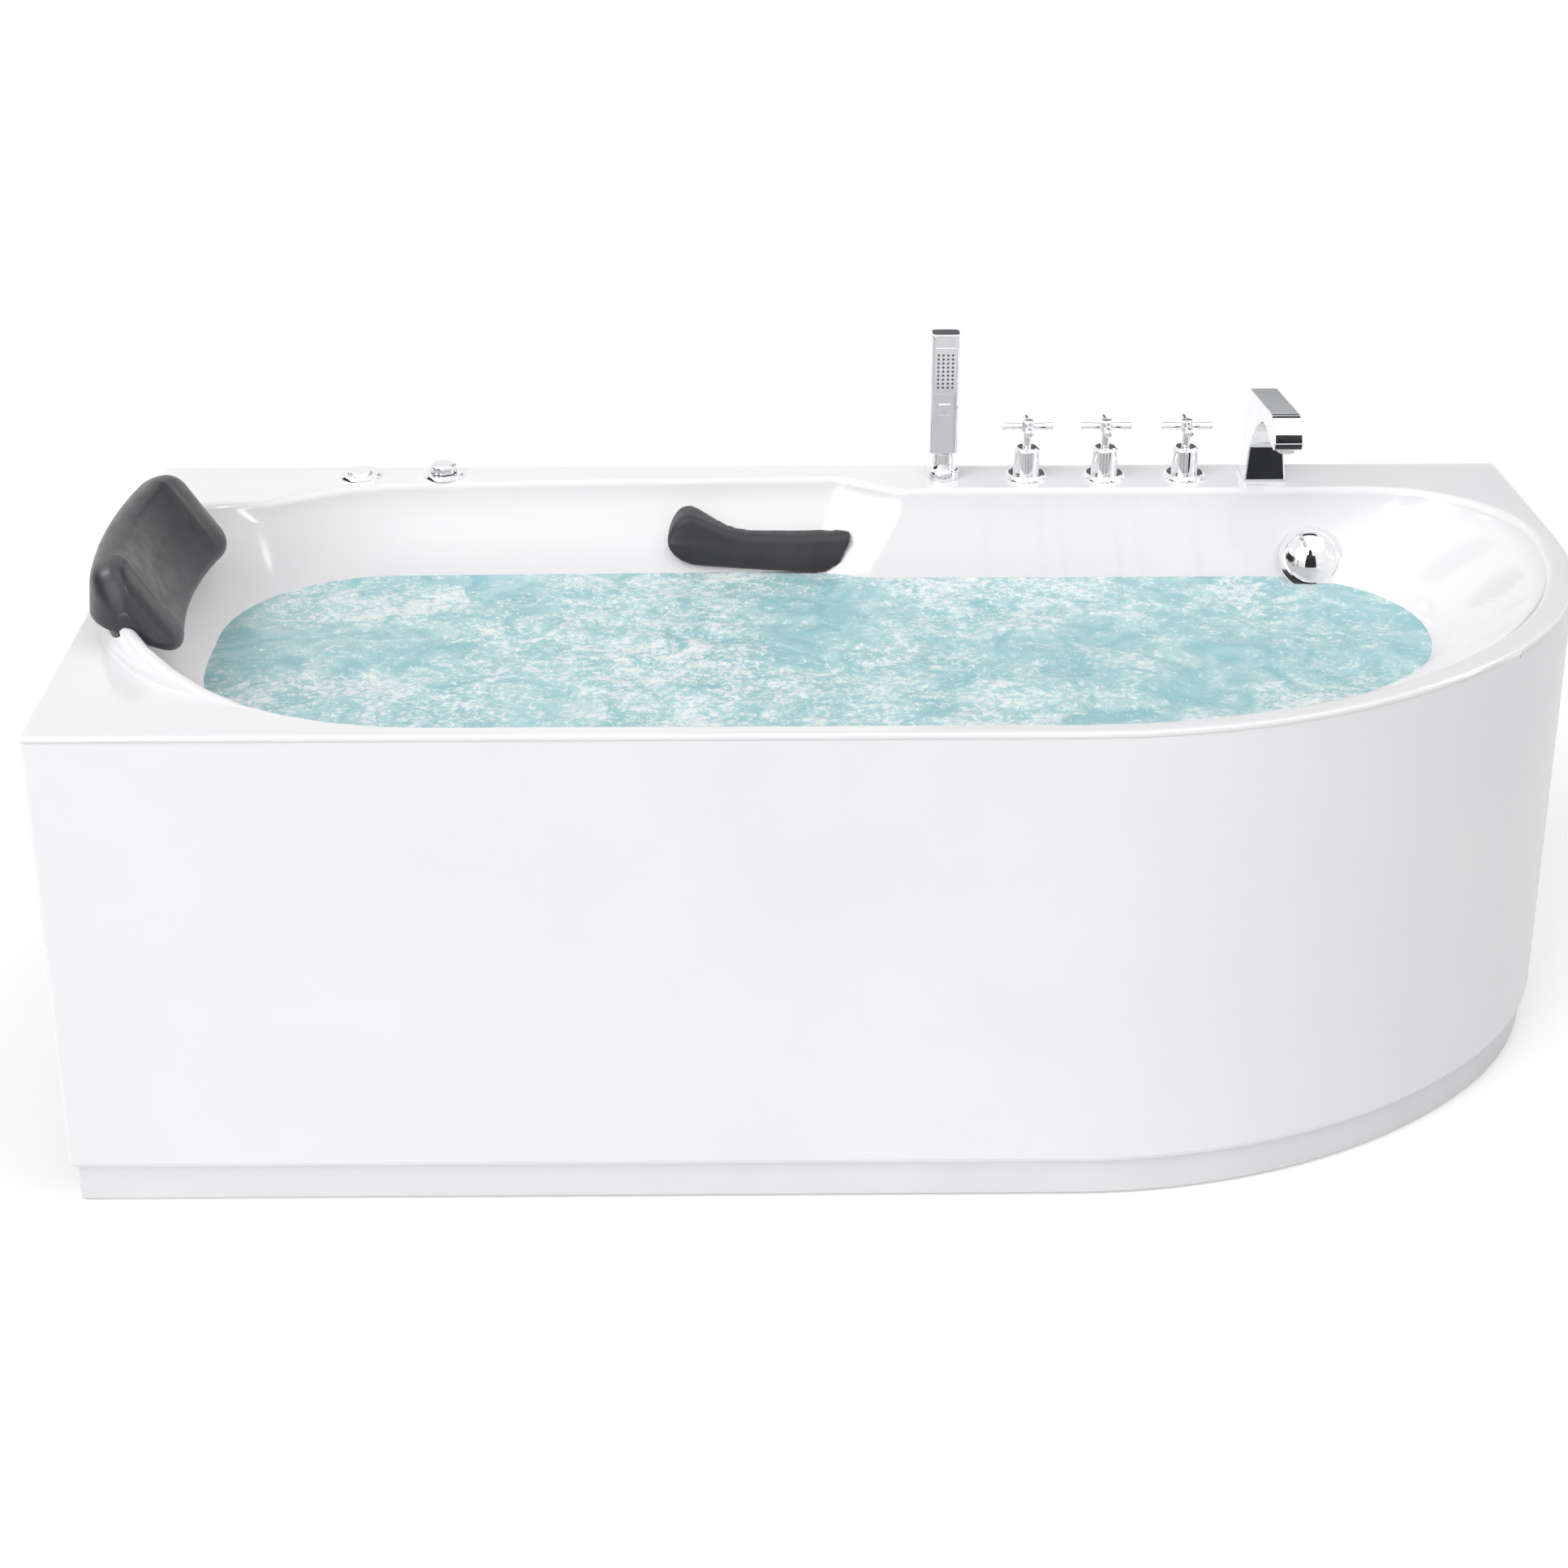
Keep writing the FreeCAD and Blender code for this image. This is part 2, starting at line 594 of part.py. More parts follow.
def plinth_shape():
    low = size("plinth_gap")
    top = size("apron_bottom")
    inset = size("plinth_inset")
    outer = Part.Face(deck_outline(inset, low)).extrude(Vector(0, 0, top - low))
    inner = Part.Face(deck_outline(inset + size("plinth_wall"), low)).extrude(Vector(0, 0, top - low))
    return outer.cut(inner).cut(wall_sides(low, top))


node("front_apron", shaped(apron_shape(), "FrontApron"))
node("plinth_strip", shaped(plinth_shape(), "PlinthStrip"))

# ---------------------------------------------------------------- carrying frame and feet

RAIL_Z = "floor_level - shell_wall - tube"
BAR_Z = RAIL_Z + " - tube"
DECK_UNDER = "deck_top - deck_thick"

for name, rail_side in (("rail_front", "-rail_y"), ("rail_rear", "rail_y")):
    rail = box("rail_head + rail_foot", "tube", "tube",
               "-rail_head", rail_side + " - tube / 2", RAIL_Z)
    hollow = box("rail_head + rail_foot + 2", "tube - 2 * tube_wall", "tube - 2 * tube_wall",
                 "-rail_head - 1", rail_side + " - tube / 2 + tube_wall", RAIL_Z + " + tube_wall")
    node(name, cut(rail, hollow))

CRADLES = {
    "head": ("cradle_head_x", "cradle_front_y", "foot_front_y"),
    "middle": ("cradle_middle_x", "cradle_front_y", "foot_front_y"),
    "foot": ("cradle_foot_x", "cradle_foot_front_y", "foot_front_y_end"),
}
nuts = []
foot_number = 0
for name, (x, front, front_foot) in CRADLES.items():
    left = f"{x} - tube / 2"
    bar = box("tube", f"{front} + cradle_rear_y", "tube", left, f"-{front}", BAR_Z)
    front_post = box("tube", "tube", f"front_post_top - ({RAIL_Z})", left, f"-{front}", RAIL_Z)
    rear_post = box("tube", "tube", f"{DECK_UNDER} - ({RAIL_Z})", left,
                    "cradle_rear_y - tube", RAIL_Z)
    inner = "tube - 2 * tube_wall"
    inside = f"{left} + tube_wall"
    holes = [
        box(inner, f"{front} + cradle_rear_y - 2 * tube_wall", inner, inside,
            f"-{front} + tube_wall", BAR_Z + " + tube_wall"),
        box(inner, inner, f"front_post_top - ({BAR_Z})", inside, f"-{front} + tube_wall",
            BAR_Z + " + tube_wall"),
        box(inner, inner, f"{DECK_UNDER} - ({BAR_Z}) - 2 * tube_wall", inside,
            "cradle_rear_y - tube + tube_wall", BAR_Z + " + tube_wall"),
    ]
    for y in (f"-{front_foot}", "foot_rear_y"):
        foot_number += 1
        holes.append(cylinder("stem_radius + stem_play", "3 * tube", x, y, BAR_Z + " - tube"))
        node(f"levelling_foot_{foot_number}", turned(f"Foot{foot_number}", [
            (0, 0), ("pad_radius", 0), ("pad_radius - 4", "pad_height"),
            ("pad_radius - 9", "pad_height"), ("stem_radius", "2 * pad_height"),
            ("stem_radius", "stem_top"), (0, "stem_top"),
        ], x, y))
        nut = hexagon("nut_width", "nut_height", x, y, BAR_Z + " - nut_height")
        bore = cylinder("stem_radius + stem_play", "3 * nut_height", x, y,
                        BAR_Z + " - 2 * nut_height")
        nuts.append(cut(nut, bore))
    node(f"cradle_{name}", cut(fuse(bar, front_post, rear_post), *holes))
node("foot_lock_nuts", group(*nuts))

brackets = []
for x in ("cradle_head_x", "cradle_middle_x"):
    gap = "width / 2 - apron_inset - apron_wall - cradle_front_y"
    brackets.append(box("2 * tube", gap, "2 * tube", f"{x} - tube",
                        "-(width / 2 - apron_inset - apron_wall)", "front_post_top - 3 * tube"))
node("apron_brackets", group(*brackets))

# ---------------------------------------------------------------- cross-handle valves

TAPS = {"hot": "hot_x", "diverter": "diverter_x", "cold": "cold_x"}
BONNET_TOP = "deck_top + flange_height + bonnet_height"
HUB_Z = "deck_top + handle_rise"
flanges = []
back_nuts = []
for name, x in TAPS.items():
    flange = cone("flange_radius", "flange_radius - 3", "flange_height", x, "tap_y", "deck_top")
    flange_hole = cylinder("shank_radius", "3 * flange_height", x, "tap_y", "deck_top - flange_height")
    flanges.append(cut(flange, flange_hole))
    seat = "tail_length + valve_depth + flange_height"
    valve = turned(f"{name.title()}Valve", [
        (0, 0), ("tail_radius", 0), ("tail_radius", "tail_length"), ("shank_radius", "tail_length"),
        ("shank_radius", seat), ("bonnet_radius", seat),
        ("bonnet_radius", seat + " + bonnet_height - 3"),
        ("bonnet_radius - 4", seat + " + bonnet_height"), (0, seat + " + bonnet_height"),
    ], x, "tap_y", "deck_top - valve_depth - tail_length")
    spindle_hole = cylinder("spindle_radius + spindle_play", "spindle_depth + 1", x, "tap_y",
                            BONNET_TOP + " - spindle_depth")
    node(f"{name}_valve_body", cut(valve, spindle_hole))
    spindle = cylinder("spindle_radius", "spindle_depth + 2", x, "tap_y",
                       BONNET_TOP + " - spindle_depth + handle_gap")
    neck = cylinder("stem_neck", f"{HUB_Z} - ({BONNET_TOP}) - handle_gap", x, "tap_y",
                    BONNET_TOP + " + handle_gap")
    hub = cylinder("hub_radius", "hub_height", x, "tap_y", HUB_Z)
    cap = cone("hub_radius", "hub_radius - 3", 2.5, x, "tap_y", HUB_Z + " + hub_height")
    arms = []
    for turn in range(4):
        way = Rotation(Vector(0, 0, 1), 90 * turn).multiply(SIDEWAYS)
        arms.append(cone("arm_root", "arm_tip", "arm_reach", x, "tap_y",
                         HUB_Z + " + hub_height / 2", way))
    node(f"{name}_cross_handle", fuse(spindle, neck, hub, cap, *arms))
    nut = hexagon("2 * back_nut_radius", "back_nut_height", x, "tap_y",
                  DECK_UNDER + " - back_nut_height")
    back_nuts.append(cut(nut, cylinder("shank_radius", "3 * back_nut_height", x, "tap_y",
                                       DECK_UNDER + " - 2 * back_nut_height")))
node("tap_flanges", group(*flanges))

# ---------------------------------------------------------------- hand shower

holder = turned("Holder", [
    (0, 0), ("shank_radius", 0), ("shank_radius", "guide_depth"), ("holder_radius", "guide_depth"),
    ("holder_radius - 1.5", "guide_depth + holder_ring"),
    ("holder_radius - 3", "guide_depth + holder_ring"),
    ("holder_neck", "guide_depth + (holder_height + holder_ring) / 2"),
    ("holder_neck", "guide_depth + holder_height"), (0, "guide_depth + holder_height"),
], "handset_x", "tap_y", "deck_top - guide_depth")
socket = cylinder("socket_radius + socket_play", "holder_height + guide_depth + 2",
                  "handset_x", "tap_y", "deck_top - guide_depth - 1")
node("handset_holder", cut(holder, socket))

HANDSET_Z = "deck_top + holder_height"
HANDSET_FRONT = "tap_y - handset_depth / 2"
grip = box("handset_width", "handset_depth", "handset_length", "handset_x - handset_width / 2",
           HANDSET_FRONT, HANDSET_Z + " + 0.3")
grip = rounded(grip, "handset_round", lambda e: e.BoundBox.ZLength > 20)
spigot = cylinder("socket_radius", "socket_depth + 4", "handset_x", "tap_y",
                  HANDSET_Z + " - socket_depth")
key_hole = box("key_side + 2 * key_play", "key_depth + 1", "key_side + 2 * key_play",
               "handset_x - key_side / 2 - key_play", HANDSET_FRONT + " - 1",
               HANDSET_Z + " + handset_length - key_drop - key_side / 2 - key_play")
spray = box("spray_width", "spray_lip", "spray_height", "handset_x - spray_width / 2",
            HANDSET_FRONT + " - spray_lip",
            HANDSET_Z + " + handset_length - spray_drop - spray_height")
node("handset", cut(fuse(grip, spigot, spray), key_hole))
node("handset_button", box(
    "key_side", "key_depth - 2 + key_proud", "key_side", "handset_x - key_side / 2",
    HANDSET_FRONT + " - key_proud",
    HANDSET_Z + " + handset_length - key_drop - key_side / 2"))
nut = hexagon("2 * back_nut_radius", "back_nut_height", "handset_x", "tap_y",
              DECK_UNDER + " - back_nut_height")
back_nuts.append(cut(nut, cylinder("shank_radius", "3 * back_nut_height", "handset_x", "tap_y",
                                   DECK_UNDER + " - 2 * back_nut_height")))


# ---------------------------------------------------------------- bath spout

def spout_shape():
    """Side view of the spout, drawn in the YZ plane and narrowed towards its top."""
    x, y, z = size("spout_x"), size("spout_y"), size("deck_top")
    back = y + size("spout_back")
    front = y - size("spout_front")
    top = z + size("spout_rise")
    nose = z + size("spout_nose")
    lip_y = y - size("spout_lip_y")
    lip_z = z + size("spout_lip")
    half = size("spout_base") / 2

    def at(py, pz):
        return Vector(x - half, py, pz)

    def curve(*ends):
        return Part.Arc(*[at(*end) for end in ends]).toShape()

    def run(first, last):
        return Part.LineSegment(at(*first), at(*last)).toShape()

    heel = (back, z)
    shoulder = (back - 2, top)
    brow = (lip_y + 38, nose)
    tip = (lip_y, lip_z)
    mouth = (lip_y + 4, lip_z - 10)
    throat = (lip_y + 30, lip_z - 8)
    arch = (front + 4, z + 42)
    toe = (front, z)
    edges = [
        run(heel, shoulder), run(shoulder, brow),
        curve(brow, (lip_y + 11, lip_z + 17), tip), run(tip, mouth), run(mouth, throat),
        curve(throat, (front - 26, lip_z - 14), arch), run(arch, toe), run(toe, heel),
    ]
    side = Part.Face(Part.Wire(edges)).extrude(Vector(2 * half, 0, 0))
    narrow = size("spout_top") / 2
    taper = Part.makePolygon([
        Vector(x - half, 0, z), Vector(x + half, 0, z), Vector(x + narrow, 0, lip_z - 12),
        Vector(x + narrow, 0, nose + 20), Vector(x - narrow, 0, nose + 20),
        Vector(x - narrow, 0, lip_z - 12), Vector(x - half, 0, z)])
    wedge = Part.Face(taper).extrude(Vector(0, 2 * size("width"), 0))
    shank = Part.makeCylinder(size("shank_radius"), size("guide_depth") + 1,
                              Vector(x, y, z - size("guide_depth")))
    return side.common(wedge).fuse(shank)


spout = node("bath_spout", shaped(spout_shape(), "BathSpout"))
aerator = cylinder("aerator_radius", "aerator_height", "spout_x", "spout_y - spout_lip_y + 17",
                   "deck_top + spout_lip - 9.5 - aerator_height")
node("spout_aerator", cut(aerator, spout))
nut = hexagon("2 * back_nut_radius", "back_nut_height", "spout_x", "spout_y",
              DECK_UNDER + " - back_nut_height")
back_nuts.append(cut(nut, cylinder("shank_radius", "3 * back_nut_height", "spout_x", "spout_y",
                                   DECK_UNDER + " - 2 * back_nut_height")))
node("tap_back_nuts", group(*back_nuts))

MIXER_Z = "deck_top - guide_depth + tail_radius + 2"
links = []
for start, end in (("handset_x", "hot_x"), ("hot_x", "diverter_x"), ("diverter_x", "cold_x"),
                   ("cold_x", "spout_x")):
    link = cylinder("tail_radius", f"{end} - {start}", start, "tap_y", MIXER_Z, SIDEWAYS)
    ends = [cylinder("shank_radius", "2 * guide_depth", x,
                     "spout_y" if x == "spout_x" else "tap_y", "deck_top - 2 * guide_depth")
            for x in (start, end)]
    links.append(cut(link, *ends))
node("mixer_pipes", group(*links))

# ---------------------------------------------------------------- air button and air dial

bezel = cone("bezel_radius", "bezel_radius - 3", "bezel_height", "button_x", "air_y", "deck_top")
barrel = cylinder("barrel_radius", "barrel_depth", "button_x", "air_y", "deck_top - barrel_depth")
nipple = cylinder("cable_radius + 1.5", 12, "button_x", "air_y", "deck_top - barrel_depth - 12")
well = cylinder("button_radius + button_play", "bezel_height + 14", "button_x", "air_y",
                "deck_top - 12")
node("air_button_housing", cut(fuse(bezel, barrel, nipple), well))
crown = cylinder("button_radius", "bezel_height + button_proud + 12 - button_travel - 1.3",
                 "button_x", "air_y", "deck_top - 12 + button_travel + 1.3")
node("air_button", crown)

bezel = cone("dial_bezel_radius", "dial_bezel_radius - 3", "bezel_height", "dial_x", "air_y",
             "deck_top")
barrel = cylinder("barrel_radius", "barrel_depth", "dial_x", "air_y", "deck_top - barrel_depth")
nipple = cylinder("air_radius + 2", 14, "dial_x", "air_y", "deck_top - barrel_depth - 14")
seat = cylinder("dial_stem + dial_play", "bezel_height + 22", "dial_x", "air_y", "deck_top - 20")
node("air_dial_housing", cut(fuse(bezel, barrel, nipple), seat))
DIAL_Z = "deck_top + bezel_height + handle_gap"
stalk = cylinder("dial_stem", "bezel_height + 15", "dial_x", "air_y", "deck_top - 14.7")
disc = cylinder("dial_radius - 4", "dial_height", "dial_x", "air_y", DIAL_Z)
petals = []
for number in range(SIZES["dial_petals"]):
    way = Rotation(Vector(0, 0, 1), 360 * number / SIZES["dial_petals"])
    petal = box("dial_radius", "dial_radius / 4", "dial_height - 2", "dial_x", "air_y", DIAL_Z, way)
    petals.append(petal)
node("air_dial_knob", fuse(stalk, disc, *petals))

# ---------------------------------------------------------------- overflow and waste


def inward(spot, along):
    """The point on a wall fitting's axis, along it from the seat into the tub."""
    return spot.multVec(Vector(0, 0, along))


def overflow_rosette_shape():
    spot = OVERFLOW_SPOT
    disc = turned_disc(spot, size("overflow_rosette"), 0, size("overflow_rim"))
    tail = turned_disc(spot, size("waste_pipe") - 0.5, -8, 1)
    bore = turned_disc(spot, size("knob_stem") + size("knob_play"), -9, size("overflow_rim") + 1)
    return disc.fuse(tail).cut(bore)


def overflow_knob_shape():
    spot = OVERFLOW_SPOT
    radius = size("knob_radius")
    rise = size("knob_dome")
    start = size("overflow_rim") + size("handle_gap")
    sphere_radius = (radius ** 2 + rise ** 2) / (2 * rise)
    edge = start + size("knob_edge")
    centre = edge + rise - sphere_radius
    flat = math.asin(size("knob_stem") / 2 / sphere_radius)
    turn = math.asin(radius / sphere_radius)

    def on_dome(angle):
        return Vector(sphere_radius * math.sin(angle), 0, centre + sphere_radius * math.cos(angle))

    corners = [Vector(0, 0, start), Vector(radius, 0, start), on_dome(turn), on_dome(flat),
               Vector(0, 0, on_dome(flat).z)]
    sides = [Part.LineSegment(corners[0], corners[1]).toShape(),
             Part.LineSegment(corners[1], corners[2]).toShape(),
             Part.Arc(corners[2], on_dome((turn + flat) / 2), corners[3]).toShape(),
             Part.LineSegment(corners[3], corners[4]).toShape(),
             Part.LineSegment(corners[4], corners[0]).toShape()]
    cap = Part.Face(Part.Wire(sides)).revolve(Vector(), Vector(0, 0, 1), 360)
    cap.Placement = spot.multiply(cap.Placement)
    stem = turned_disc(spot, size("knob_stem"), -6, start + 6)
    return cap.fuse(stem)


def overflow_pipe_shape():
    spot = OVERFLOW_SPOT
    radius = size("waste_pipe")
    start = inward(spot, -size("shell_wall") - size("seat_proud") - 3)
    towards = inward(spot, -1) - spot.Base
    reach = (size("overflow_pipe_y") - spot.Base.y) / towards.y
    turn = spot.Base + towards * reach
    x = size("overflow_x")
    z = size("waste_pipe_z")
    end_x = size("waste_x") + size("trap_radius") - 8
    run = pipe([start, turn, (x, turn.y, z), (x, 0, z), (end_x, 0, z)], radius, 30)
    lug = Part.makeCylinder(size("cable_radius") + 3, 34, Vector(x, turn.y, 430), Vector(0, 1, 0))
    trap = Part.makeCylinder(size("trap_radius"), 200, Vector(size("waste_x"), 0, 0))
    return run.fuse(lug).cut(trap)


node("overflow_rosette", shaped(overflow_rosette_shape()))
node("overflow_knob", shaped(overflow_knob_shape()))
node("overflow_pipe", shaped(overflow_pipe_shape()))

FLOOR = "floor_level"
TRAP_BORE = "trap_radius - trap_wall"
flange = cylinder("waste_flange", "waste_lip", "waste_x", 0, FLOOR)
barrel = cylinder(TRAP_BORE, 26, "waste_x", 0, FLOOR + " - 26 + 0.5")
bore = cylinder(TRAP_BORE + " - 3", 60, "waste_x", 0, FLOOR + " - 40")
web = box(f"2 * ({TRAP_BORE}) - 2", 6, 8, f"waste_x - ({TRAP_BORE}) + 1", -3, FLOOR + " - 22")
hub = cylinder("plug_stem + 3", 8, "waste_x", 0, FLOOR + " - 22")
guide = cylinder("plug_stem + knob_play", 60, "waste_x", 0, FLOOR + " - 40")
node("drain_flange", cut(fuse(cut(fuse(flange, barrel), bore), web, hub), guide))
node("drain_plug", turned("Plug", [
    (0, 0), ("plug_stem", 0), ("plug_stem", "waste_lip + 28"), ("plug_radius", "waste_lip + 28"),
    ("plug_radius", "waste_lip + 26 + plug_height"),
    ("plug_radius - 5", "waste_lip + 28 + plug_height"), (0, "waste_lip + 28 + plug_height"),
], "waste_x", 0, FLOOR + " - 28"))
cup = cylinder("trap_radius", f"{FLOOR} - shell_wall - trap_bottom", "waste_x", 0, "trap_bottom")
cup_bore = cylinder(TRAP_BORE, 200, "waste_x", 0, "trap_bottom + trap_wall")
barrel = cylinder("spigot_radius + 3", "spigot_y - spigot_length - trap_radius + 6", "waste_x",
                  "trap_radius - 6", "spigot_z", BACKWARD)
spigot = cylinder("spigot_radius", "spigot_y - 30", "waste_x", 30, "spigot_z", BACKWARD)
spigot_bore = cylinder("spigot_radius - 3", "spigot_y", "waste_x", 10, "spigot_z", BACKWARD)
node("waste_trap", cut(fuse(cup, barrel, spigot), cup_bore, spigot_bore))


def cable_shape():
    """The pull cable from the overflow knob's gear to the side of the waste trap."""
    x = size("overflow_x")
    y = size("overflow_pipe_y")
    low = size("waste_pipe_z") + size("waste_pipe") + 8
    run = pipe([(x, y + 34, 430), (x, y + 54, 430), (x - 38, y + 54, 340), (x - 38, y + 54, low),
                (x - 38, 0, low), (size("waste_x") + 10, 0, low)], size("cable_radius"), 14)
    return run.cut(Part.makeCylinder(size("trap_radius"), 200, Vector(size("waste_x"), 0, 0)))


node("popup_cable", shaped(cable_shape()))

# ---------------------------------------------------------------- jets and their pipes


def collar_about(x, y, z, radius, long):
    """A sleeve outline about a pipe that runs along the tub."""
    return Part.makeCylinder(radius, long, Vector(x - long / 2, y, z), Vector(1, 0, 0))


def jet_body_shape(spot):
    side = 1 if spot.Base.y > 0 else -1
    x = spot.Base.x
    play = size("pipe_play")
    long = size("collar_length")
    pressure = (x, side * size("pressure_y"), size("jet_z") - size("pressure_drop"))
    air = (x, side * size("air_ring_y"), size("jet_z") + size("air_rise"))
    rosette = turned_disc(spot, size("jet_rosette"), 0, size("jet_lip"))
    barrel = turned_disc(spot, size("jet_barrel") - 0.5, -size("jet_depth"), 1)
    tee = collar_about(*pressure, size("pressure_radius") + size("pipe_collar"), long)
    nipple = Part.makeCylinder(size("air_radius"), size("air_rise"),
                               Vector(air[0], air[1], size("jet_z")))
    sleeve = collar_about(*air, size("air_radius") + size("pipe_collar"), long / 2)
    bore = turned_disc(spot, size("jet_bore"), size("jet_lip") - size("jet_bore_depth"), 20)
    pipes = [collar_about(*pressure, size("pressure_radius") + play, 2 * long),
             collar_about(*air, size("air_radius") + play, 2 * long)]
    return rosette.fuse([barrel, tee, nipple, sleeve]).cut([bore] + pipes)


def jet_nozzle_shape(spot):
    """The turning eyeball: a plug with a raised rim and a water hole off its centre."""
    radius = size("jet_bore") - size("nozzle_play")
    low = size("jet_lip") - size("jet_bore_depth") + size("handle_gap")
    high = size("jet_lip") + size("nozzle_proud")
    plug = Part.makeCylinder(radius, high - low, Vector(0, 0, low))
    dish = Part.makeCone(radius - 7, radius - 2, 5, Vector(0, 0, high - 4.5))
    hole = Part.makeCylinder(size("nozzle_hole"), 80, Vector(size("nozzle_offset"), 0, low - 20))
    shape = plug.cut([dish, hole])
    shape.Placement = spot.multiply(shape.Placement)
    return shape


node("jet_bodies", group(*[shaped(jet_body_shape(spot)) for spot in JET_SPOTS]))
for number, spot in enumerate(JET_SPOTS, start=1):
    node(f"jet_nozzle_{number}", shaped(jet_nozzle_shape(spot)))


def pressure_pipe_shape():
    """A ring from the pump's outlet: one branch to the front jets, one to the rear jets."""
    head = -size("pressure_head_x")
    y = size("pressure_y")
    z = size("jet_z") - size("pressure_drop")
    last = size("jet_first_x") + 2 * size("jet_step") + size("pipe_overrun")
    radius = size("pressure_radius")
    outlet_y = size("motor_front") - size("volute_length") / 2
    start = pump_axis_z() + size("volute_radius")
    ring = pipe([(last, -y, z), (head, -y, z), (head, y, z), (last, y, z)],
                radius, size("pipe_bend"))
    riser = Part.makeCylinder(radius, z - start, Vector(head, outlet_y, start))
    sleeve = Part.makeCylinder(radius + 4, 72, Vector(head, outlet_y - 36, z), Vector(0, 1, 0))
    return ring.fuse([riser, sleeve])


def air_pipe_shape():
    head = -size("air_head_x")
    y = size("air_ring_y")
    z = size("jet_z") + size("air_rise")
    last = size("jet_first_x") + 2 * size("jet_step") + size("pipe_overrun")
    ring = pipe([(last, -y, z), (head, -y, z), (head, y, z), (last, y, z)],
                size("air_radius"), size("air_bend"))
    dial = size("deck_top") - size("barrel_depth") - 14
    feed = pipe([(size("dial_x"), size("air_y"), dial), (size("dial_x"), size("air_y"), z),
                 (size("dial_x"), y, z)], size("air_radius"), size("pipe_bend"))
    return ring.fuse(feed)


def pump_axis_z():
    return size("floor_level") - size("shell_wall") + size("pump_plate") + size("pump_rise")


node("pressure_pipe", shaped(pressure_pipe_shape()))
node("air_pipe", shaped(air_pipe_shape()))

# ---------------------------------------------------------------- suction and pump


def suction_cover_shape():
    """A slotted cover on the inside of the wall."""
    radius = size("suction_cover")
    deep = size("suction_depth")
    body = Part.makeCone(radius, radius - 6, deep)
    body = body.cut(Part.makeCone(radius - 3, radius - 9, deep - 3))
    count = int(size("suction_slots"))
    slots = []
    for number in range(count):
        slot = Part.makeBox(radius * 0.42, 5, deep * 2, Vector(radius * 0.38, -2.5, -1))
        slot.rotate(Vector(), Vector(0, 0, 1), 360 * number / count)
        slots.append(slot)
    body = body.cut(slots)
    body.Placement = SUCTION_SPOT.multiply(body.Placement)
    return body


def suction_elbow_shape():
    spot = SUCTION_SPOT
    long = 60
    run_y = -size("suction_run_y")
    z = pump_axis_z()
    barrel = turned_disc(spot, size("suction_radius") - 0.5, -86, -0.5)
    sleeve = Part.makeCylinder(size("suction_pipe") + size("pipe_collar"), long,
                               Vector(spot.Base.x - long / 2, run_y, z), Vector(1, 0, 0))
    throat = turned_disc(spot, size("suction_radius") - 5, -60, 1)
    bore = Part.makeCylinder(size("suction_pipe") + size("pipe_play"), long,
                             Vector(spot.Base.x + long / 2 - 14 - long, run_y, z), Vector(1, 0, 0))
    beyond = Part.makeBox(200, 200, 200, Vector(spot.Base.x - 100, run_y - 200 - 4, z - 100))
    return barrel.cut(beyond).fuse(sleeve).cut([throat, bore])


def suction_pipe_shape():
    x = size("pump_x")
    z = pump_axis_z()
    start = size("motor_front") - size("volute_length") - size("inlet_length")
    end = SUCTION_SPOT.Base.x + 16
    return pipe([(x, start, z), (x, -size("suction_run_y"), z), (end, -size("suction_run_y"), z)],
                size("suction_pipe"), size("pipe_bend") * 1.4)


node("suction_cover", shaped(suction_cover_shape()))
node("suction_elbow", shaped(suction_elbow_shape()))
node("suction_pipe", shaped(suction_pipe_shape()))

PLATE_Z = "floor_level - shell_wall"
AXIS_Z = "floor_level - shell_wall + pump_plate + pump_rise"
VOLUTE_FRONT = "motor_front - volute_length"
plate = box("2 * plate_half", "rail_y + motor_rear", "pump_plate", "pump_x - plate_half",
            "-rail_y", PLATE_Z)
stand = box("1.2 * motor_radius", 40, "pump_rise", "pump_x - 0.6 * motor_radius", "motor_front + 40",
            PLATE_Z + " + pump_plate")
stand_rear = box("1.2 * motor_radius", 40, "pump_rise", "pump_x - 0.6 * motor_radius",
                 "motor_rear - 80", PLATE_Z + " + pump_plate")
drum = cylinder("motor_radius", "motor_rear - motor_front", "pump_x", "motor_front", AXIS_Z, BACKWARD)
switch = box("switch_side", "switch_side", "motor_radius + 20", "switch_x - switch_side / 2",
             "switch_y - switch_side / 2", AXIS_Z)
INSIDE = "motor_radius - motor_wall"
cavity = cylinder(INSIDE, "motor_rear - motor_front - 30 - motor_wall", "pump_x",
                  "motor_front + motor_wall", AXIS_Z, BACKWARD)
fan_room = cylinder(INSIDE, 18, "pump_x", "motor_rear - 22", AXIS_Z, BACKWARD)
shaft_bore = cylinder("shaft_radius + shaft_play", "motor_rear - motor_front - 10", "pump_x",
                      "motor_front - 1", AXIS_Z, BACKWARD)
vents = []
for number in range(10):
    angle = math.radians(36 * number)
    vents.append(cylinder(6, 20, f"pump_x + {round(30 * math.cos(angle), 3)}", "motor_rear - 10",
                          f"{AXIS_Z} + {round(30 * math.sin(angle), 3)}", BACKWARD))
node("pump_motor", cut(fuse(plate, stand, stand_rear, drum, switch), cavity, fan_room, shaft_bore,
                       *vents))

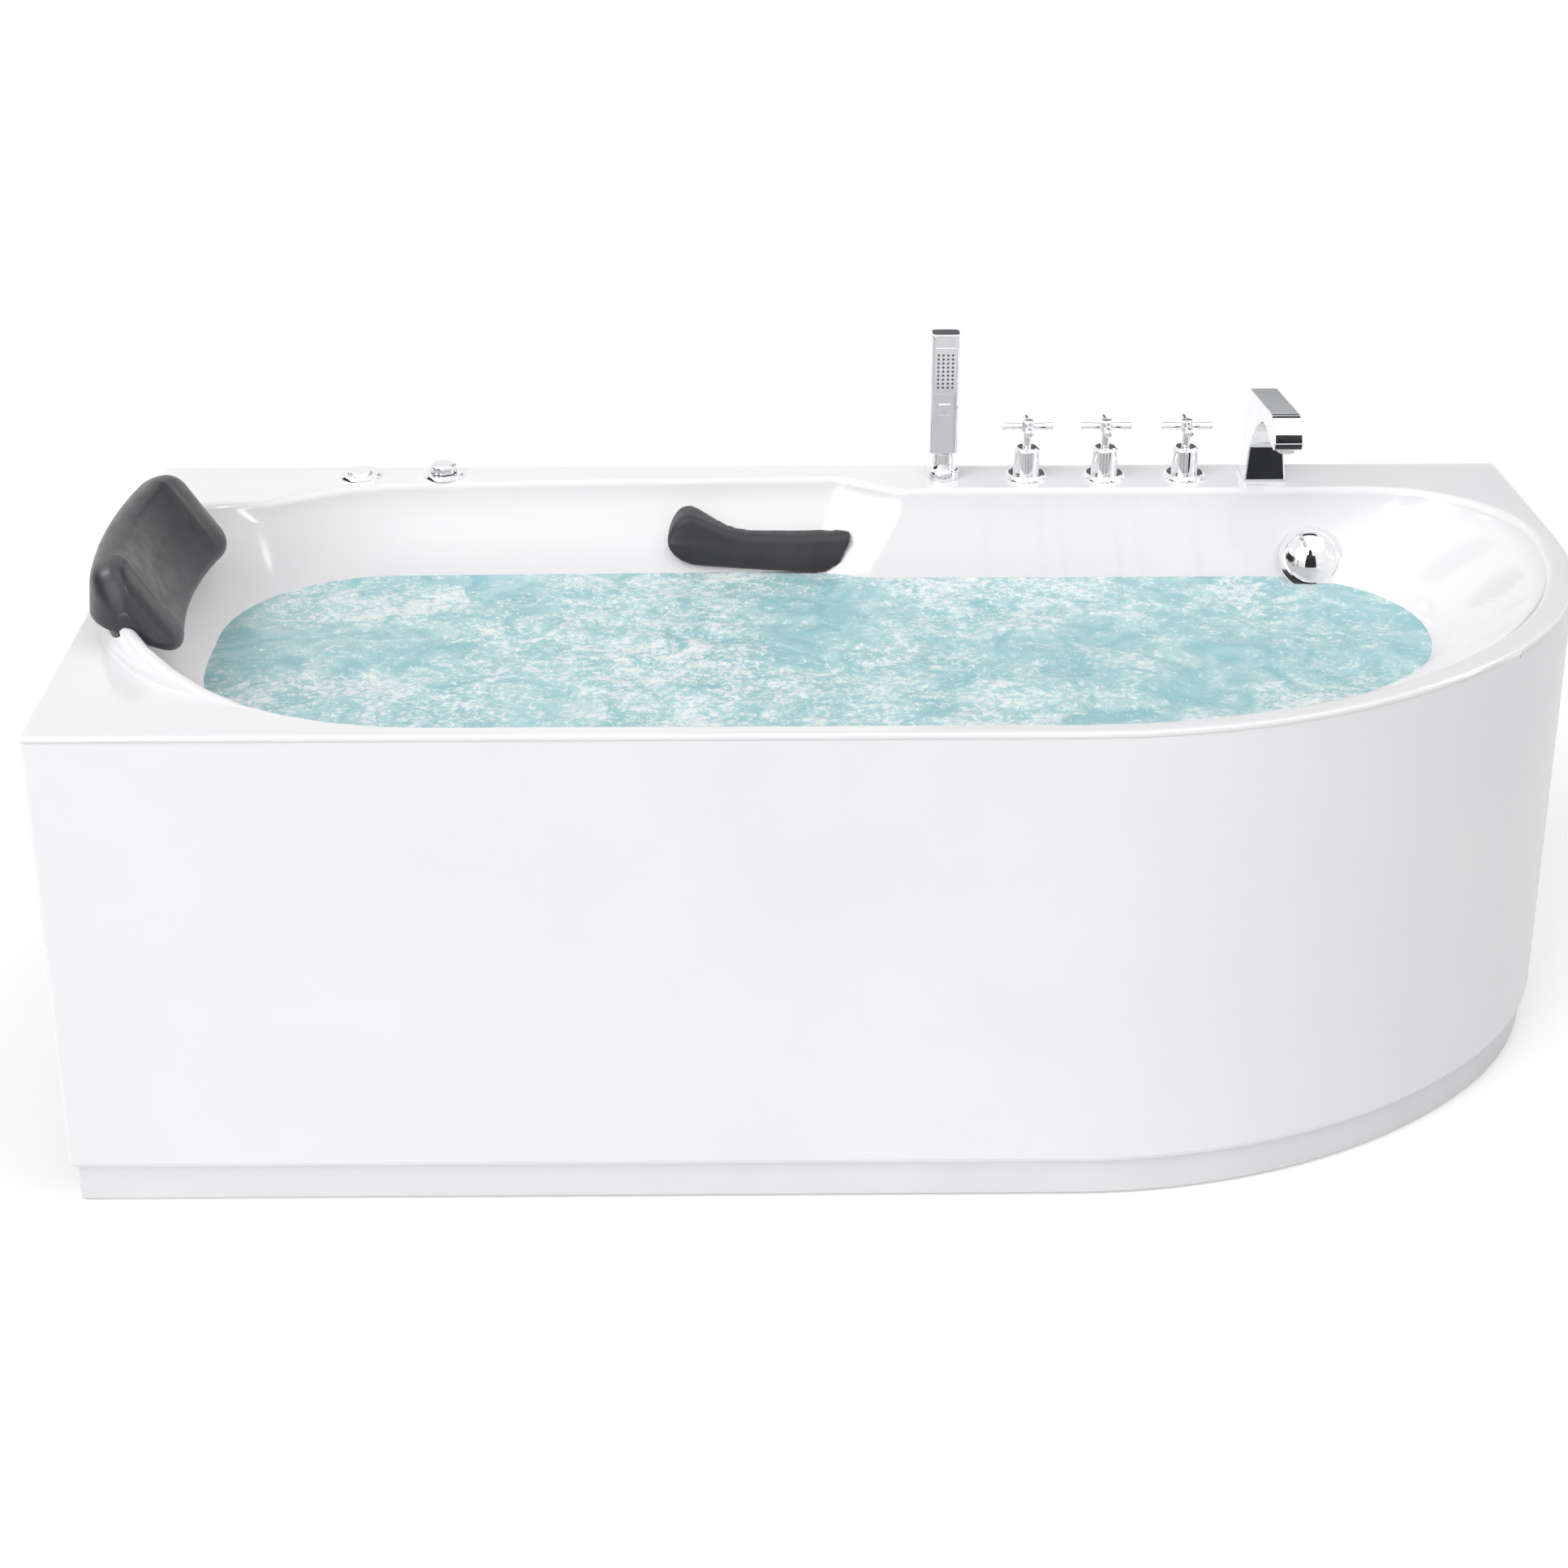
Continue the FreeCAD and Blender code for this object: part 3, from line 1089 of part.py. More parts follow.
casing = cylinder("volute_radius", "volute_length", "pump_x", VOLUTE_FRONT, AXIS_Z, BACKWARD)
inlet = cylinder("suction_pipe + 4", "inlet_length + 4", "pump_x", VOLUTE_FRONT + " - inlet_length",
                 AXIS_Z, BACKWARD)
outlet = cylinder("discharge_radius", "volute_radius", "pump_x - discharge_shift",
                  "motor_front - volute_length / 2", AXIS_Z)
heel = box("1.2 * volute_radius", "volute_length / 2", "pump_rise", "pump_x - 0.6 * volute_radius",
           "motor_front - 0.75 * volute_length", PLATE_Z + " + pump_plate")
room = cylinder("volute_radius - volute_wall", "volute_length - 34", "pump_x",
                VOLUTE_FRONT + " + volute_wall", AXIS_Z, BACKWARD)
throat = cylinder("suction_pipe - 2", "inlet_length + 20", "pump_x",
                  VOLUTE_FRONT + " - inlet_length - 1", AXIS_Z, BACKWARD)
outlet_bore = cylinder("discharge_radius - 6", "volute_radius + 1", "pump_x - discharge_shift",
                       VOLUTE_FRONT + " + volute_wall + 12", AXIS_Z)
gland = cylinder("shaft_radius + shaft_play", 60, "pump_x", "motor_front - 40", AXIS_Z, BACKWARD)
node("pump_wet_end", cut(fuse(casing, inlet, outlet, heel), room, throat, outlet_bore, gland))

shaft = cylinder("shaft_radius", "motor_rear - motor_front + volute_length - 30", "pump_x",
                 VOLUTE_FRONT + " + volute_wall + 5", AXIS_Z, BACKWARD)
impeller = cylinder("impeller_radius", "impeller_thick", "pump_x",
                    VOLUTE_FRONT + " + volute_wall + 5", AXIS_Z, BACKWARD)
core = cylinder("core_radius", "motor_rear - motor_front - 90", "pump_x", "motor_front + 35",
                AXIS_Z, BACKWARD)
fan = cylinder("fan_radius", 10, "pump_x", "motor_rear - 18", AXIS_Z, BACKWARD)
node("pump_rotor", fuse(shaft, impeller, core, fan))


def pneumatic_tube_shape():
    """The thin hose from the air button to the switch on the pump's motor."""
    x = size("button_x")
    y = size("air_y")
    high = size("deck_top") - size("barrel_depth") - 12
    top = size("tube_z")
    end_x = size("switch_x")
    end_y = size("switch_y")
    end_z = pump_axis_z() + size("motor_radius") + 20
    return pipe([(x, y, high), (x, y, top + 50), (end_x, y, top), (end_x, end_y, top),
                 (end_x, end_y, end_z)], size("tube_radius"), 24)


node("pneumatic_tube", shaped(pneumatic_tube_shape()))

# ---------------------------------------------------------------- head pillow and armrest pad


def upright_outline(corners, origin, across):
    """A rounded outline standing up: across is the level axis, corners are (across, z, r)."""
    flat = rounded_outline(eased(corners, 1), 0)
    frame = FreeCAD.Matrix()
    up = Vector(0, 0, 1)
    normal = across.cross(up)
    for row, values in enumerate(zip(across, up, normal, origin)):
        for column, value in enumerate(values):
            setattr(frame, f"A{row + 1}{column + 1}", value)
    return flat.transformGeometry(frame)


def tub_block(grow):
    """Deck, collar and basin walls as one block, swollen by grow, for soft pieces to rest on."""
    low = size("floor_level")
    block = Part.makeBox(size("length"), size("width"), size("deck_top") - low + grow,
                         Vector(-size("length") / 2, -size("width") / 2, low))
    return block.fuse(collar_solid(grow)).cut(basin_solid(-grow))


def pillow_shape():
    stations = [number / 4 for number in range(-4, 5)]
    wires = []
    for share in stations:
        y = size("pillow_centre") + share * size("pillow_half")
        swell = 1 - 0.85 * abs(share) ** 3.2
        fat = 1 - 0.65 * abs(share) ** 4
        middle_z = size("pillow_end_top") - 12
        middle_x = (size("pillow_inner") + size("pillow_outer")) / 2 + 4
        top = size("pillow_end_top") + (size("pillow_top") - size("pillow_end_top")) * swell
        inner = middle_x + (size("pillow_inner") - 3 * (1 - abs(share)) - middle_x) * (0.25 + 0.75 * fat)
        outer = middle_x + (size("pillow_outer") - middle_x) * fat
        low = middle_z + (size("pillow_low") - middle_z) * (0.3 + 0.7 * fat)
        flap = middle_z + (size("pillow_flap") - middle_z) * fat
        corners = [
            (-inner, low, 9 * fat), (-inner + 2, low + 26 * fat, 14 * fat),
            (-middle_x + 4, top, 20 * fat), (-outer, top - 9 * fat, 18 * fat),
            (-outer + 3, flap, 7 * fat), (-middle_x - 2, low + 8, 12 * fat),
        ]
        wires.append(upright_outline(corners, Vector(0, y, 0), Vector(1, 0, 0)))
    return Part.makeLoft(wires, True, False)


def pad_shape():
    stations = ((26, 0.55), (22, 0.95), (5, 1), (0, 1), (-1, 1), (0, 1), (2, 1))
    wires = []
    for number, (rise, fat) in enumerate(stations):
        share = number / (len(stations) - 1)
        x = size("pad_start") + share * (size("pad_end") - size("pad_start"))
        top = size("pad_top") + rise
        middle = (size("pad_low") + top) / 2
        half = (top - size("pad_low")) / 2 * (0.55 + 0.45 * fat)
        front = size("pad_front") + 10 * (1 - fat)
        corners = [
            (front - 4, middle - half, 9 * fat), (size("pad_back"), middle - half, 6 * fat),
            (size("pad_back"), middle + half, 6 * fat), (front + 8, middle + half, 12 * fat),
            (front - 1, middle, 22 * fat),
        ]
        wires.append(upright_outline(corners, Vector(x, 0, 0), Vector(0, 1, 0)))
    raw = Part.makeLoft(wires, True, False)
    low = size("pad_low") - 20
    slant = Part.makePolygon([
        Vector(size("pad_end") - size("pad_slant"), 0, low),
        Vector(size("pad_end") + 2, 0, size("pad_top")),
        Vector(size("pad_end") + 60, 0, size("pad_top") + 60), Vector(size("pad_end") + 60, 0, low),
        Vector(size("pad_end") - size("pad_slant"), 0, low)])
    return raw.cut(Part.Face(slant).extrude(Vector(0, size("width"), 0)))


TUB_BLOCK = tub_block(size("soft_gap"))
for name, shape in (("headrest_pillow", pillow_shape()), ("armrest_pad", pad_shape())):
    node(name, shaped(shape.cut([TUB_BLOCK, tub.Shape]), name))

doc.recompute()
for thing in doc.Objects:
    troubled = [state for state in thing.State if state in ("Invalid", "Error")]
    shape = getattr(thing, "Shape", None)
    if troubled or (shape is not None and (shape.isNull() or not shape.isValid())):
        raise RuntimeError(f"{thing.Name} did not build")
os.makedirs("parts", exist_ok=True)
for name, thing in NODES.items():
    thing.Shape.exportStep(f"parts/{name}.step")
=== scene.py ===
import math
import bmesh
import bpy
from mathutils import Matrix, Vector, noise
from mathutils.bvhtree import BVHTree


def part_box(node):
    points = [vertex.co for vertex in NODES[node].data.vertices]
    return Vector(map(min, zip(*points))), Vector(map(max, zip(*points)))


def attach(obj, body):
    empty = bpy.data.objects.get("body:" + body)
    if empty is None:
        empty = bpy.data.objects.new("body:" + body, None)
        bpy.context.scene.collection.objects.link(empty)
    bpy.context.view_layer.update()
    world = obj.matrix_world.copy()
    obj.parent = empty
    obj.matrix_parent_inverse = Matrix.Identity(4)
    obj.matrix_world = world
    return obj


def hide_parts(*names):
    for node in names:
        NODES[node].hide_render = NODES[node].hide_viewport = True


# Jetted bathtub, 1700 x 800 mm. The rear (+Y) and the head end (-X) stand against walls, the
# rounded foot end is +X and up is +Z. Lengths below are in millimetres until MM turns them.

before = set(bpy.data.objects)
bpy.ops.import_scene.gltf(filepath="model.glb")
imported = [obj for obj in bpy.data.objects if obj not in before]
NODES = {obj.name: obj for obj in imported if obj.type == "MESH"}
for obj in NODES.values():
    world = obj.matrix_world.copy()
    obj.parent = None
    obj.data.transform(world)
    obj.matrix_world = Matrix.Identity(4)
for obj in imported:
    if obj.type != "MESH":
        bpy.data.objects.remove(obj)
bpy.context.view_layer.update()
MM = 0.001


# ---------------------------------------------------------------- materials

def colour(code):
    """An sRGB hex colour as linear red, green, blue and alpha."""
    shares = [int(code[i:i + 2], 16) / 255 for i in (0, 2, 4)]
    return [s / 12.92 if s <= 0.04045 else ((s + 0.055) / 1.055) ** 2.4 for s in shares] + [1]


def add(tree, kind, gives="", settings=None, **inputs):
    """Adds a node with its settings and links, and returns the output that is asked for."""
    node = tree.nodes.new(kind)
    for name, value in (settings or {}).items():
        setattr(node, name, value)
    for name, value in inputs.items():
        socket = next(entry for entry in node.inputs
                      if entry.identifier.replace(" ", "_") == name)
        if isinstance(value, bpy.types.NodeSocket):
            tree.links.new(value, socket)
        else:
            socket.default_value = value
    return next((entry for entry in node.outputs if entry.identifier == gives), node)


def bare_material(name):
    """A new material with an empty tree, and the Object coordinates of what wears it."""
    made = bpy.data.materials.new(name)
    made.use_nodes = True
    tree = made.node_tree
    tree.nodes.clear()
    return made, tree, add(tree, "ShaderNodeTexCoord", "Object")


def per(size):
    """The pattern scale that sets a pattern's marks this many millimetres apart."""
    return 1 / (size * MM)


def varied(tree, where, tones, gloss, patch, wipe, detail=2.0, low=0.3):
    """A colour that drifts between two tones in patches, and a roughness in smaller patches.

    Noise seldom leaves the range from low to 1 - low, so that range is stretched to the whole.
    """
    patches = add(tree, "ShaderNodeTexNoise", "Fac", Vector=where, Scale=per(patch),
                  Detail=detail)
    share = add(tree, "ShaderNodeMapRange", "Result", Value=patches, From_Min=low,
                From_Max=1 - low)
    tone = add(tree, "ShaderNodeMix", "Result_Color", {"data_type": "RGBA"}, Factor_Float=share,
               A_Color=colour(tones[0]), B_Color=colour(tones[1]))
    wiped = add(tree, "ShaderNodeTexNoise", "Fac", Vector=where, Scale=per(wipe), Detail=2.0)
    rough = add(tree, "ShaderNodeMapRange", "Result", Value=wiped, From_Min=0.3, From_Max=0.7,
                To_Min=gloss[0], To_Max=gloss[1])
    return tone, rough


def moulded(name, tones, gloss, patch, grain, relief, **kind):
    """A formed, moulded or painted skin: near tones and gloss in patches, over a fine grain.

    The patches' and the grain's widths and the grain's depth are in millimetres.
    """
    made, tree, where = bare_material(name)
    tone, rough = varied(tree, where, tones, gloss, patch, patch / 4)
    cells = add(tree, "ShaderNodeTexNoise", "Fac", Vector=where, Scale=per(grain), Detail=4.0)
    bump = add(tree, "ShaderNodeBump", "Normal", Height=cells, Strength=0.25,
               Distance=relief * MM)
    skin = add(tree, "ShaderNodeBsdfPrincipled", "BSDF", Base_Color=tone, Roughness=rough,
               Normal=bump, **kind)
    add(tree, "ShaderNodeOutputMaterial", Surface=skin)
    return made


def foam_skin(name, tones, gloss):
    """Integral skin on moulded polyurethane foam: a leather-like pebble with soft folds.

    The pebble is 1.3 mm, about twice the real one, which would be too fine to show; the folds
    between groups of pebbles are 3 mm, and skin rubbed smoother lies in patches of 45 mm.
    """
    made, tree, where = bare_material(name)
    tone, rough = varied(tree, where, tones, gloss, 45, 17, low=0.35)
    pebbles = add(tree, "ShaderNodeTexVoronoi", "Distance", Vector=where, Scale=per(1.3))
    folds = add(tree, "ShaderNodeTexNoise", "Fac", Vector=where, Scale=per(3), Detail=3.0)
    height = add(tree, "ShaderNodeMath", "Value", {"operation": "ADD"}, Value=pebbles,
                 Value_001=folds)
    bump = add(tree, "ShaderNodeBump", "Normal", Height=height, Strength=0.15,
               Distance=0.22 * MM)
    skin = add(tree, "ShaderNodeBsdfPrincipled", "BSDF", Base_Color=tone, Roughness=rough,
               Normal=bump, Specular_IOR_Level=0.42)
    add(tree, "ShaderNodeOutputMaterial", Surface=skin)
    return made


def metal(name, tones, gloss, smear, mark, depth):
    """A plated, cast or turned metal: tone and gloss vary in smears, under finer marks.

    The smears' and the marks' widths and the marks' depth are in millimetres.
    """
    made, tree, where = bare_material(name)
    tone, rough = varied(tree, where, tones, gloss, smear, smear / 3, detail=3.0)
    marks = add(tree, "ShaderNodeTexNoise", "Fac", Vector=where, Scale=per(mark), Detail=4.0)
    bump = add(tree, "ShaderNodeBump", "Normal", Height=marks, Strength=0.2,
               Distance=depth * MM)
    skin = add(tree, "ShaderNodeBsdfPrincipled", "BSDF", Base_Color=tone, Roughness=rough,
               Normal=bump, Metallic=1.0)
    add(tree, "ShaderNodeOutputMaterial", Surface=skin)
    return made


def hot_dip_zinc(name):
    """Hot-dip zinc on steel tube: frozen crystals 12 mm across, each a flat grey of its own."""
    made, tree, where = bare_material(name)
    crystals = add(tree, "ShaderNodeTexVoronoi", "Color", Vector=where, Scale=per(12))
    grey = add(tree, "ShaderNodeRGBToBW", "Val", Color=crystals)
    tone = add(tree, "ShaderNodeMix", "Result_Color", {"data_type": "RGBA"}, Factor_Float=grey,
               A_Color=colour("9DA1A5"), B_Color=colour("C3C7CA"))
    rough = add(tree, "ShaderNodeMapRange", "Result", Value=grey, To_Min=0.32, To_Max=0.55)
    runs = add(tree, "ShaderNodeTexNoise", "Fac", Vector=where, Scale=per(4), Detail=4.0)
    bump = add(tree, "ShaderNodeBump", "Normal", Height=runs, Strength=0.2, Distance=0.2 * MM)
    skin = add(tree, "ShaderNodeBsdfPrincipled", "BSDF", Base_Color=tone, Roughness=rough,
               Normal=bump, Metallic=1.0)
    add(tree, "ShaderNodeOutputMaterial", Surface=skin)
    return made


# Sanitary acrylic, vacuum-formed from sheet: deep gloss over slow waves 110 mm long, and a
# white that drifts a little where the sheet was drawn thinner
ACRYLIC = moulded("sanitary_acrylic", ("F4F4F6", "F7F7F8"), (0.07, 0.13), 200, 110, 0.12,
                  IOR=1.49)
# The same sheet bent for the apron: a flatter satin face with its film-protected sheen
APRON_WHITE = moulded("satin_acrylic", ("F2F2F5", "F5F5F7"), (0.28, 0.36), 170, 70, 0.08,
                      IOR=1.49)
# Wrapped plinth board: duller, greyer, with the faint orange peel of its foil
PLINTH_WHITE = moulded("foil_wrapped_board", ("E8E8EB", "ECECEE"), (0.40, 0.50), 100, 25, 0.06)
# Bright chromium plate on polished brass: a near mirror, dulled in smears by wiping
CHROME = metal("chromium_plate", ("EAEBEE", "F3F4F5"), (0.03, 0.075), 38, 9, 0.01)
# Frame: hot-dip galvanised steel tube
ZINC = hot_dip_zinc("galvanised_steel")
# Feet: injection-moulded polyamide with a spark-eroded grain, drawn at 3 mm for the real 0.3 mm
FOOT_PLASTIC = moulded("black_polyamide", ("2B2C2E", "35363A"), (0.42, 0.55), 16, 3, 0.15)
# Jet bodies and nuts: sand-cast brass, its 1 mm sand marks drawn at 2 mm
BRASS = metal("sand_cast_brass", ("B08D4C", "C7A563"), (0.22, 0.36), 17, 2, 0.1)
# Water pipes: extruded grey PVC-U, faintly streaked and scuffed
PIPE_PLASTIC = moulded("grey_pvc_pipe", ("8E9499", "9AA0A5"), (0.28, 0.40), 40, 14, 0.1)
# Air lines: milky polythene that lets a little light through
AIR_HOSE = moulded("milky_polythene", ("C9D3D8", "D7DFE2"), (0.22, 0.34), 33, 8, 0.1,
                   Transmission_Weight=0.25)
# Pump housing: glass-filled polypropylene, dull, with its fibres as a 4 mm mottle
PUMP_PLASTIC = moulded("filled_polypropylene", ("26282B", "313438"), (0.36, 0.50), 25, 4, 0.2)
# Pump rotor: turned stainless steel, with bright machining marks
ROTOR_STEEL = metal("turned_stainless", ("8A8E92", "A0A4A8"), (0.24, 0.38), 11, 1, 0.1)
# Waste and overflow: moulded white polypropylene, waxy and a little translucent
WASTE_PLASTIC = moulded("white_polypropylene", ("DADCDB", "E4E5E4"), (0.34, 0.46), 33, 7, 0.1)
# Skins of the two soft parts: charcoal, the pillow shinier than the armrest pad
PILLOW_SKIN = foam_skin("pillow_foam_skin", ("323236", "3A3A3E"), (0.27, 0.40))
ARMREST_SKIN = foam_skin("armrest_foam_skin", ("2D2E31", "343538"), (0.38, 0.52))
# Spray nozzles: grey moulded silicone, matt and soft at the edges
NOZZLE_RUBBER = moulded("grey_silicone", ("4A4C4F", "585A5D"), (0.45, 0.60), 5, 2.5, 0.05)

# The CAD's material names and the finishes that stand for them
FINISHES = {
    "acrylic_white": ACRYLIC, "plinth_white": PLINTH_WHITE, "chrome": CHROME,
    "zinc_steel": ZINC, "foot_plastic": FOOT_PLASTIC, "brass": BRASS,
    "pipe_plastic": PIPE_PLASTIC, "air_hose_plastic": AIR_HOSE, "pillow_skin": PILLOW_SKIN,
    "armrest_skin": ARMREST_SKIN, "pump_plastic": PUMP_PLASTIC, "rotor_steel": ROTOR_STEEL,
    "waste_plastic": WASTE_PLASTIC,
}
for node in NODES.values():
    for place in node.material_slots:
        place.material = FINISHES[place.material.name.split(".")[0]]
for place in NODES["front_apron"].material_slots:
    place.material = APRON_WHITE


# ---------------------------------------------------------------- building helpers

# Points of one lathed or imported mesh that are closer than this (in metres) are one point
WELD = 0.00001
PACKED_WELD = 0.00002


def finished(name, mesh, material, body, replaced=(), weighted=False):
    """Makes the bmesh an object that rides on its body and stands for the replaced nodes."""
    data = bpy.data.meshes.new(name)
    for face in mesh.faces:
        face.smooth = True
    mesh.to_mesh(data)
    mesh.free()
    piece = bpy.data.objects.new(name, data)
    bpy.context.scene.collection.objects.link(piece)
    data.materials.append(material)
    if weighted:
        piece.modifiers.new("Weighted", "WEIGHTED_NORMAL").keep_sharp = True
    if body:
        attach(piece, body)
    if replaced:
        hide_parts(*replaced)
    return piece


def ring(mesh, points):
    """A closed loop of vertices and edges through the points."""
    verts = [mesh.verts.new(point) for point in points]
    return [mesh.edges.new(pair) for pair in zip(verts, verts[1:] + verts[:1])]


def skinned(mesh, rings, first=False, last=False):
    """Faces bridged from ring to ring, with a cap on the first and the last if wanted."""
    loops = [ring(mesh, points) for points in rings]
    for low, high in zip(loops, loops[1:]):
        bmesh.ops.bridge_loops(mesh, edges=low + high)
    for wanted, loop in ((first, loops[0]), (last, loops[-1])):
        if wanted:
            bmesh.ops.contextual_create(mesh, geom=loop)
    bmesh.ops.recalc_face_normals(mesh, faces=mesh.faces)


def softened(mesh, offset, segments=3, angle=30.0):
    """Rounds every edge that is sharper than the angle."""
    sharp = [edge for edge in mesh.edges
             if edge.is_manifold and edge.calc_face_angle() > math.radians(angle)]
    bmesh.ops.bevel(mesh, geom=sharp, offset=offset * MM, offset_type="OFFSET", affect="EDGES",
                    segments=segments, profile=0.5, material=-1, clamp_overlap=True)


def lathe(mesh, profile, place, steps=72):
    """Turns (radius, height) points about the upright axis and sets the result at place."""
    verts = [mesh.verts.new((radius * MM, 0, height * MM)) for radius, height in profile]
    edges = [mesh.edges.new(pair) for pair in zip(verts, verts[1:])]
    bmesh.ops.spin(mesh, geom=verts + edges, cent=(0, 0, 0), axis=(0, 0, 1), angle=math.tau,
                   steps=steps, use_merge=True, use_duplicate=False)
    bmesh.ops.remove_doubles(mesh, verts=mesh.verts, dist=WELD)
    bmesh.ops.recalc_face_normals(mesh, faces=mesh.faces)
    bmesh.ops.transform(mesh, matrix=place, verts=mesh.verts)


def joined(mesh, other):
    """Moves the other bmesh's shape into this one."""
    data = bpy.data.meshes.new("part")
    other.to_mesh(data)
    other.free()
    mesh.from_mesh(data)
    bpy.data.meshes.remove(data)


def at(x, y, z):
    """A shift to this place, given in millimetres."""
    return Matrix.Translation(Vector((x, y, z)) * MM)


# ---------------------------------------------------------------- the tub's outlines

# Deck: half its length and width, the foot end's reach at the sweep and how much less it is at
# the rear, the sweep's radius and centre, and the radius of the square corners
HALF_LENGTH = 850
HALF_WIDTH = 400
FOOT_REACH = 857.6
FOOT_LEAN = 19.6
FOOT_RADIUS = 480
FOOT_CENTRE = 140
DECK_CORNER = 6
DECK_TOP = 562
WATER_LEVEL = 463
LOW_LEVEL = 200
CREST_LEVEL = 612
# The basin's plan at four heights: how far it reaches to front, rear, head and foot end, the
# rear wall's recess above the armrest's step and how far the step has moved to the head, then
# the foot sweep's radius and centre and the radii of the other corners
LEVELS = {
    "low": (LOW_LEVEL, dict(
        front=238, rear=225, recess=228, recess_head=226, head=590, foot=636,
        radius=180, centre=60, head_front=200, head_rear=200, corner=160, shift=60)),
    "water": (WATER_LEVEL, dict(
        front=275, rear=262, recess=284, recess_head=272, head=738, foot=693,
        radius=208, centre=88, head_front=280, head_rear=190, corner=172, shift=40)),
    "rim": (DECK_TOP, dict(
        front=379, rear=310, recess=357, recess_head=330, head=797, foot=829,
        radius=459, centre=FOOT_CENTRE, head_front=350, head_rear=280, corner=168, shift=0)),
    "crest": (CREST_LEVEL, dict(
        front=392, rear=324, recess=369, recess_head=342, head=815, foot=842,
        radius=472, centre=FOOT_CENTRE, head_front=350, head_rear=280, corner=168, shift=0)),
}
# The foot sweep turns this far along the front, and the rest of the quarter at the foot end
FOOT_TURN = math.radians(46.4)
REST_TURN = math.radians(90) - FOOT_TURN
# Shares of the full radii that leave a short straight between the two arcs of the sweep
NEAR_SHARE = 0.998
FAR_SHARE = 0.996
# The armrest's step: where its two corners are along the rear wall, and their radius
STEP_FOOT = 78
STEP_HEAD = 2
STEP_ROUND = 34
FLOOR = 118
FLOOR_ROUND = 34


def foot_corners(front, foot, radius, centre):
    """The two corners of the rounded foot end: a wide sweep, then a tighter one."""
    join_x = foot - radius + radius * math.cos(REST_TURN)
    join_y = centre - radius * math.sin(REST_TURN)
    run = (join_y - front) / math.sin(FOOT_TURN)
    near = (join_x - run * math.cos(FOOT_TURN), front,
            run / math.tan(FOOT_TURN / 2) * NEAR_SHARE)
    return near, (foot, centre - radius * math.tan(REST_TURN / 2), radius * FAR_SHARE)


def basin_corners(front, rear, recess, recess_head, head, foot, radius, centre, head_front,
                  head_rear, corner, shift):
    """Corners of the basin: head front, foot sweep, foot rear, armrest step, head rear."""
    near, far = foot_corners(-front, foot, radius, centre)
    return [(-head, -front, head_front), near, far, (foot, rear, corner),
            (STEP_FOOT - shift, rear, STEP_ROUND), (STEP_HEAD - shift, recess, STEP_ROUND),
            (-head, recess_head, head_rear)]


def eased(corners, straight):
    """The corners with their radii eased until a straight this long is left between arcs."""
    points = [Vector((x, y)) for x, y, _ in corners]
    count = len(points)
    reaches = []
    for i, (_, _, radius) in enumerate(corners):
        back = points[i - 1] - points[i]
        ahead = points[(i + 1) % count] - points[i]
        reaches.append(radius / math.tan(back.angle(ahead) / 2))
    shares = [1.0] * count
    for i in range(count):
        ahead = (i + 1) % count
        room = (points[ahead] - points[i]).length - straight
        share = room / (reaches[i] + reaches[ahead])
        shares[i] = min(shares[i], share)
        shares[ahead] = min(shares[ahead], share)
    return [(x, y, radius * share) for (x, y, radius), share in zip(corners, shares)]


def outline(corners, bends=(12,) * 7, runs=(12, 3, 2, 12, 3, 12, 3)):
    """Points along the rounded outline: each corner's arc, then the straight after it.

    Bends are the points of each arc, and runs are the pieces of each straight.
    """
    points = [Vector((x, y)) for x, y, _ in corners]
    count = len(points)
    arcs = []
    for i, (_, _, radius) in enumerate(corners):
        back = (points[i - 1] - points[i]).normalized()
        ahead = (points[(i + 1) % count] - points[i]).normalized()
        half = back.angle(ahead) / 2
        start = points[i] + back * (radius / math.tan(half))
        end = points[i] + ahead * (radius / math.tan(half))
        centre = points[i] + (back + ahead).normalized() * (radius / math.sin(half))
        arcs.append((start, end, centre))
    result = []
    for i, (start, end, centre) in enumerate(arcs):
        turn = (start - centre).angle_signed(end - centre)
        for step in range(bends[i]):
            spoke = start - centre
            spoke.rotate(Matrix.Rotation(-turn * step / (bends[i] - 1), 2))
            result.append(centre + spoke)
        ahead = arcs[(i + 1) % count][0]
        for step in range(1, runs[i]):
            result.append(end.lerp(ahead, step / runs[i]))
    return result


def smooth_between(heights, values, z):
    """A curve through (height, value) pairs that never swings past them."""
    runs = [b - a for a, b in zip(heights, heights[1:])]
    rises = [(b - a) / run for a, b, run in zip(values, values[1:], runs)]
    slopes = [rises[0]]
    for before, after in zip(rises, rises[1:]):
        slopes.append(2 * before * after / (before + after) if before * after > 0 else 0)
    slopes.append(rises[-1])
    i = max(k for k in range(len(runs)) if z >= heights[k] or k == 0)
    run = runs[i]
    along = (z - heights[i]) / run
    return (values[i] * (1 + 2 * along) * (1 - along) ** 2
            + slopes[i] * run * along * (1 - along) ** 2
            + values[i + 1] * along ** 2 * (3 - 2 * along)
            + slopes[i + 1] * run * along ** 2 * (along - 1))


def blended(low, high, share):
    """Corners between two lists of corners."""
    return [tuple(a + (b - a) * share for a, b in zip(first, second))
            for first, second in zip(low, high)]


BASIN = {name: basin_corners(**sizes) for name, (_, sizes) in LEVELS.items()}
BASIN_START = FLOOR + FLOOR_ROUND
# Below the lowest plan the wall slopes this share of what it does above it
LOW_SLOPE = 0.6
# The shortest straight that is left between two arcs of the basin
BASIN_STRAIGHT = 5


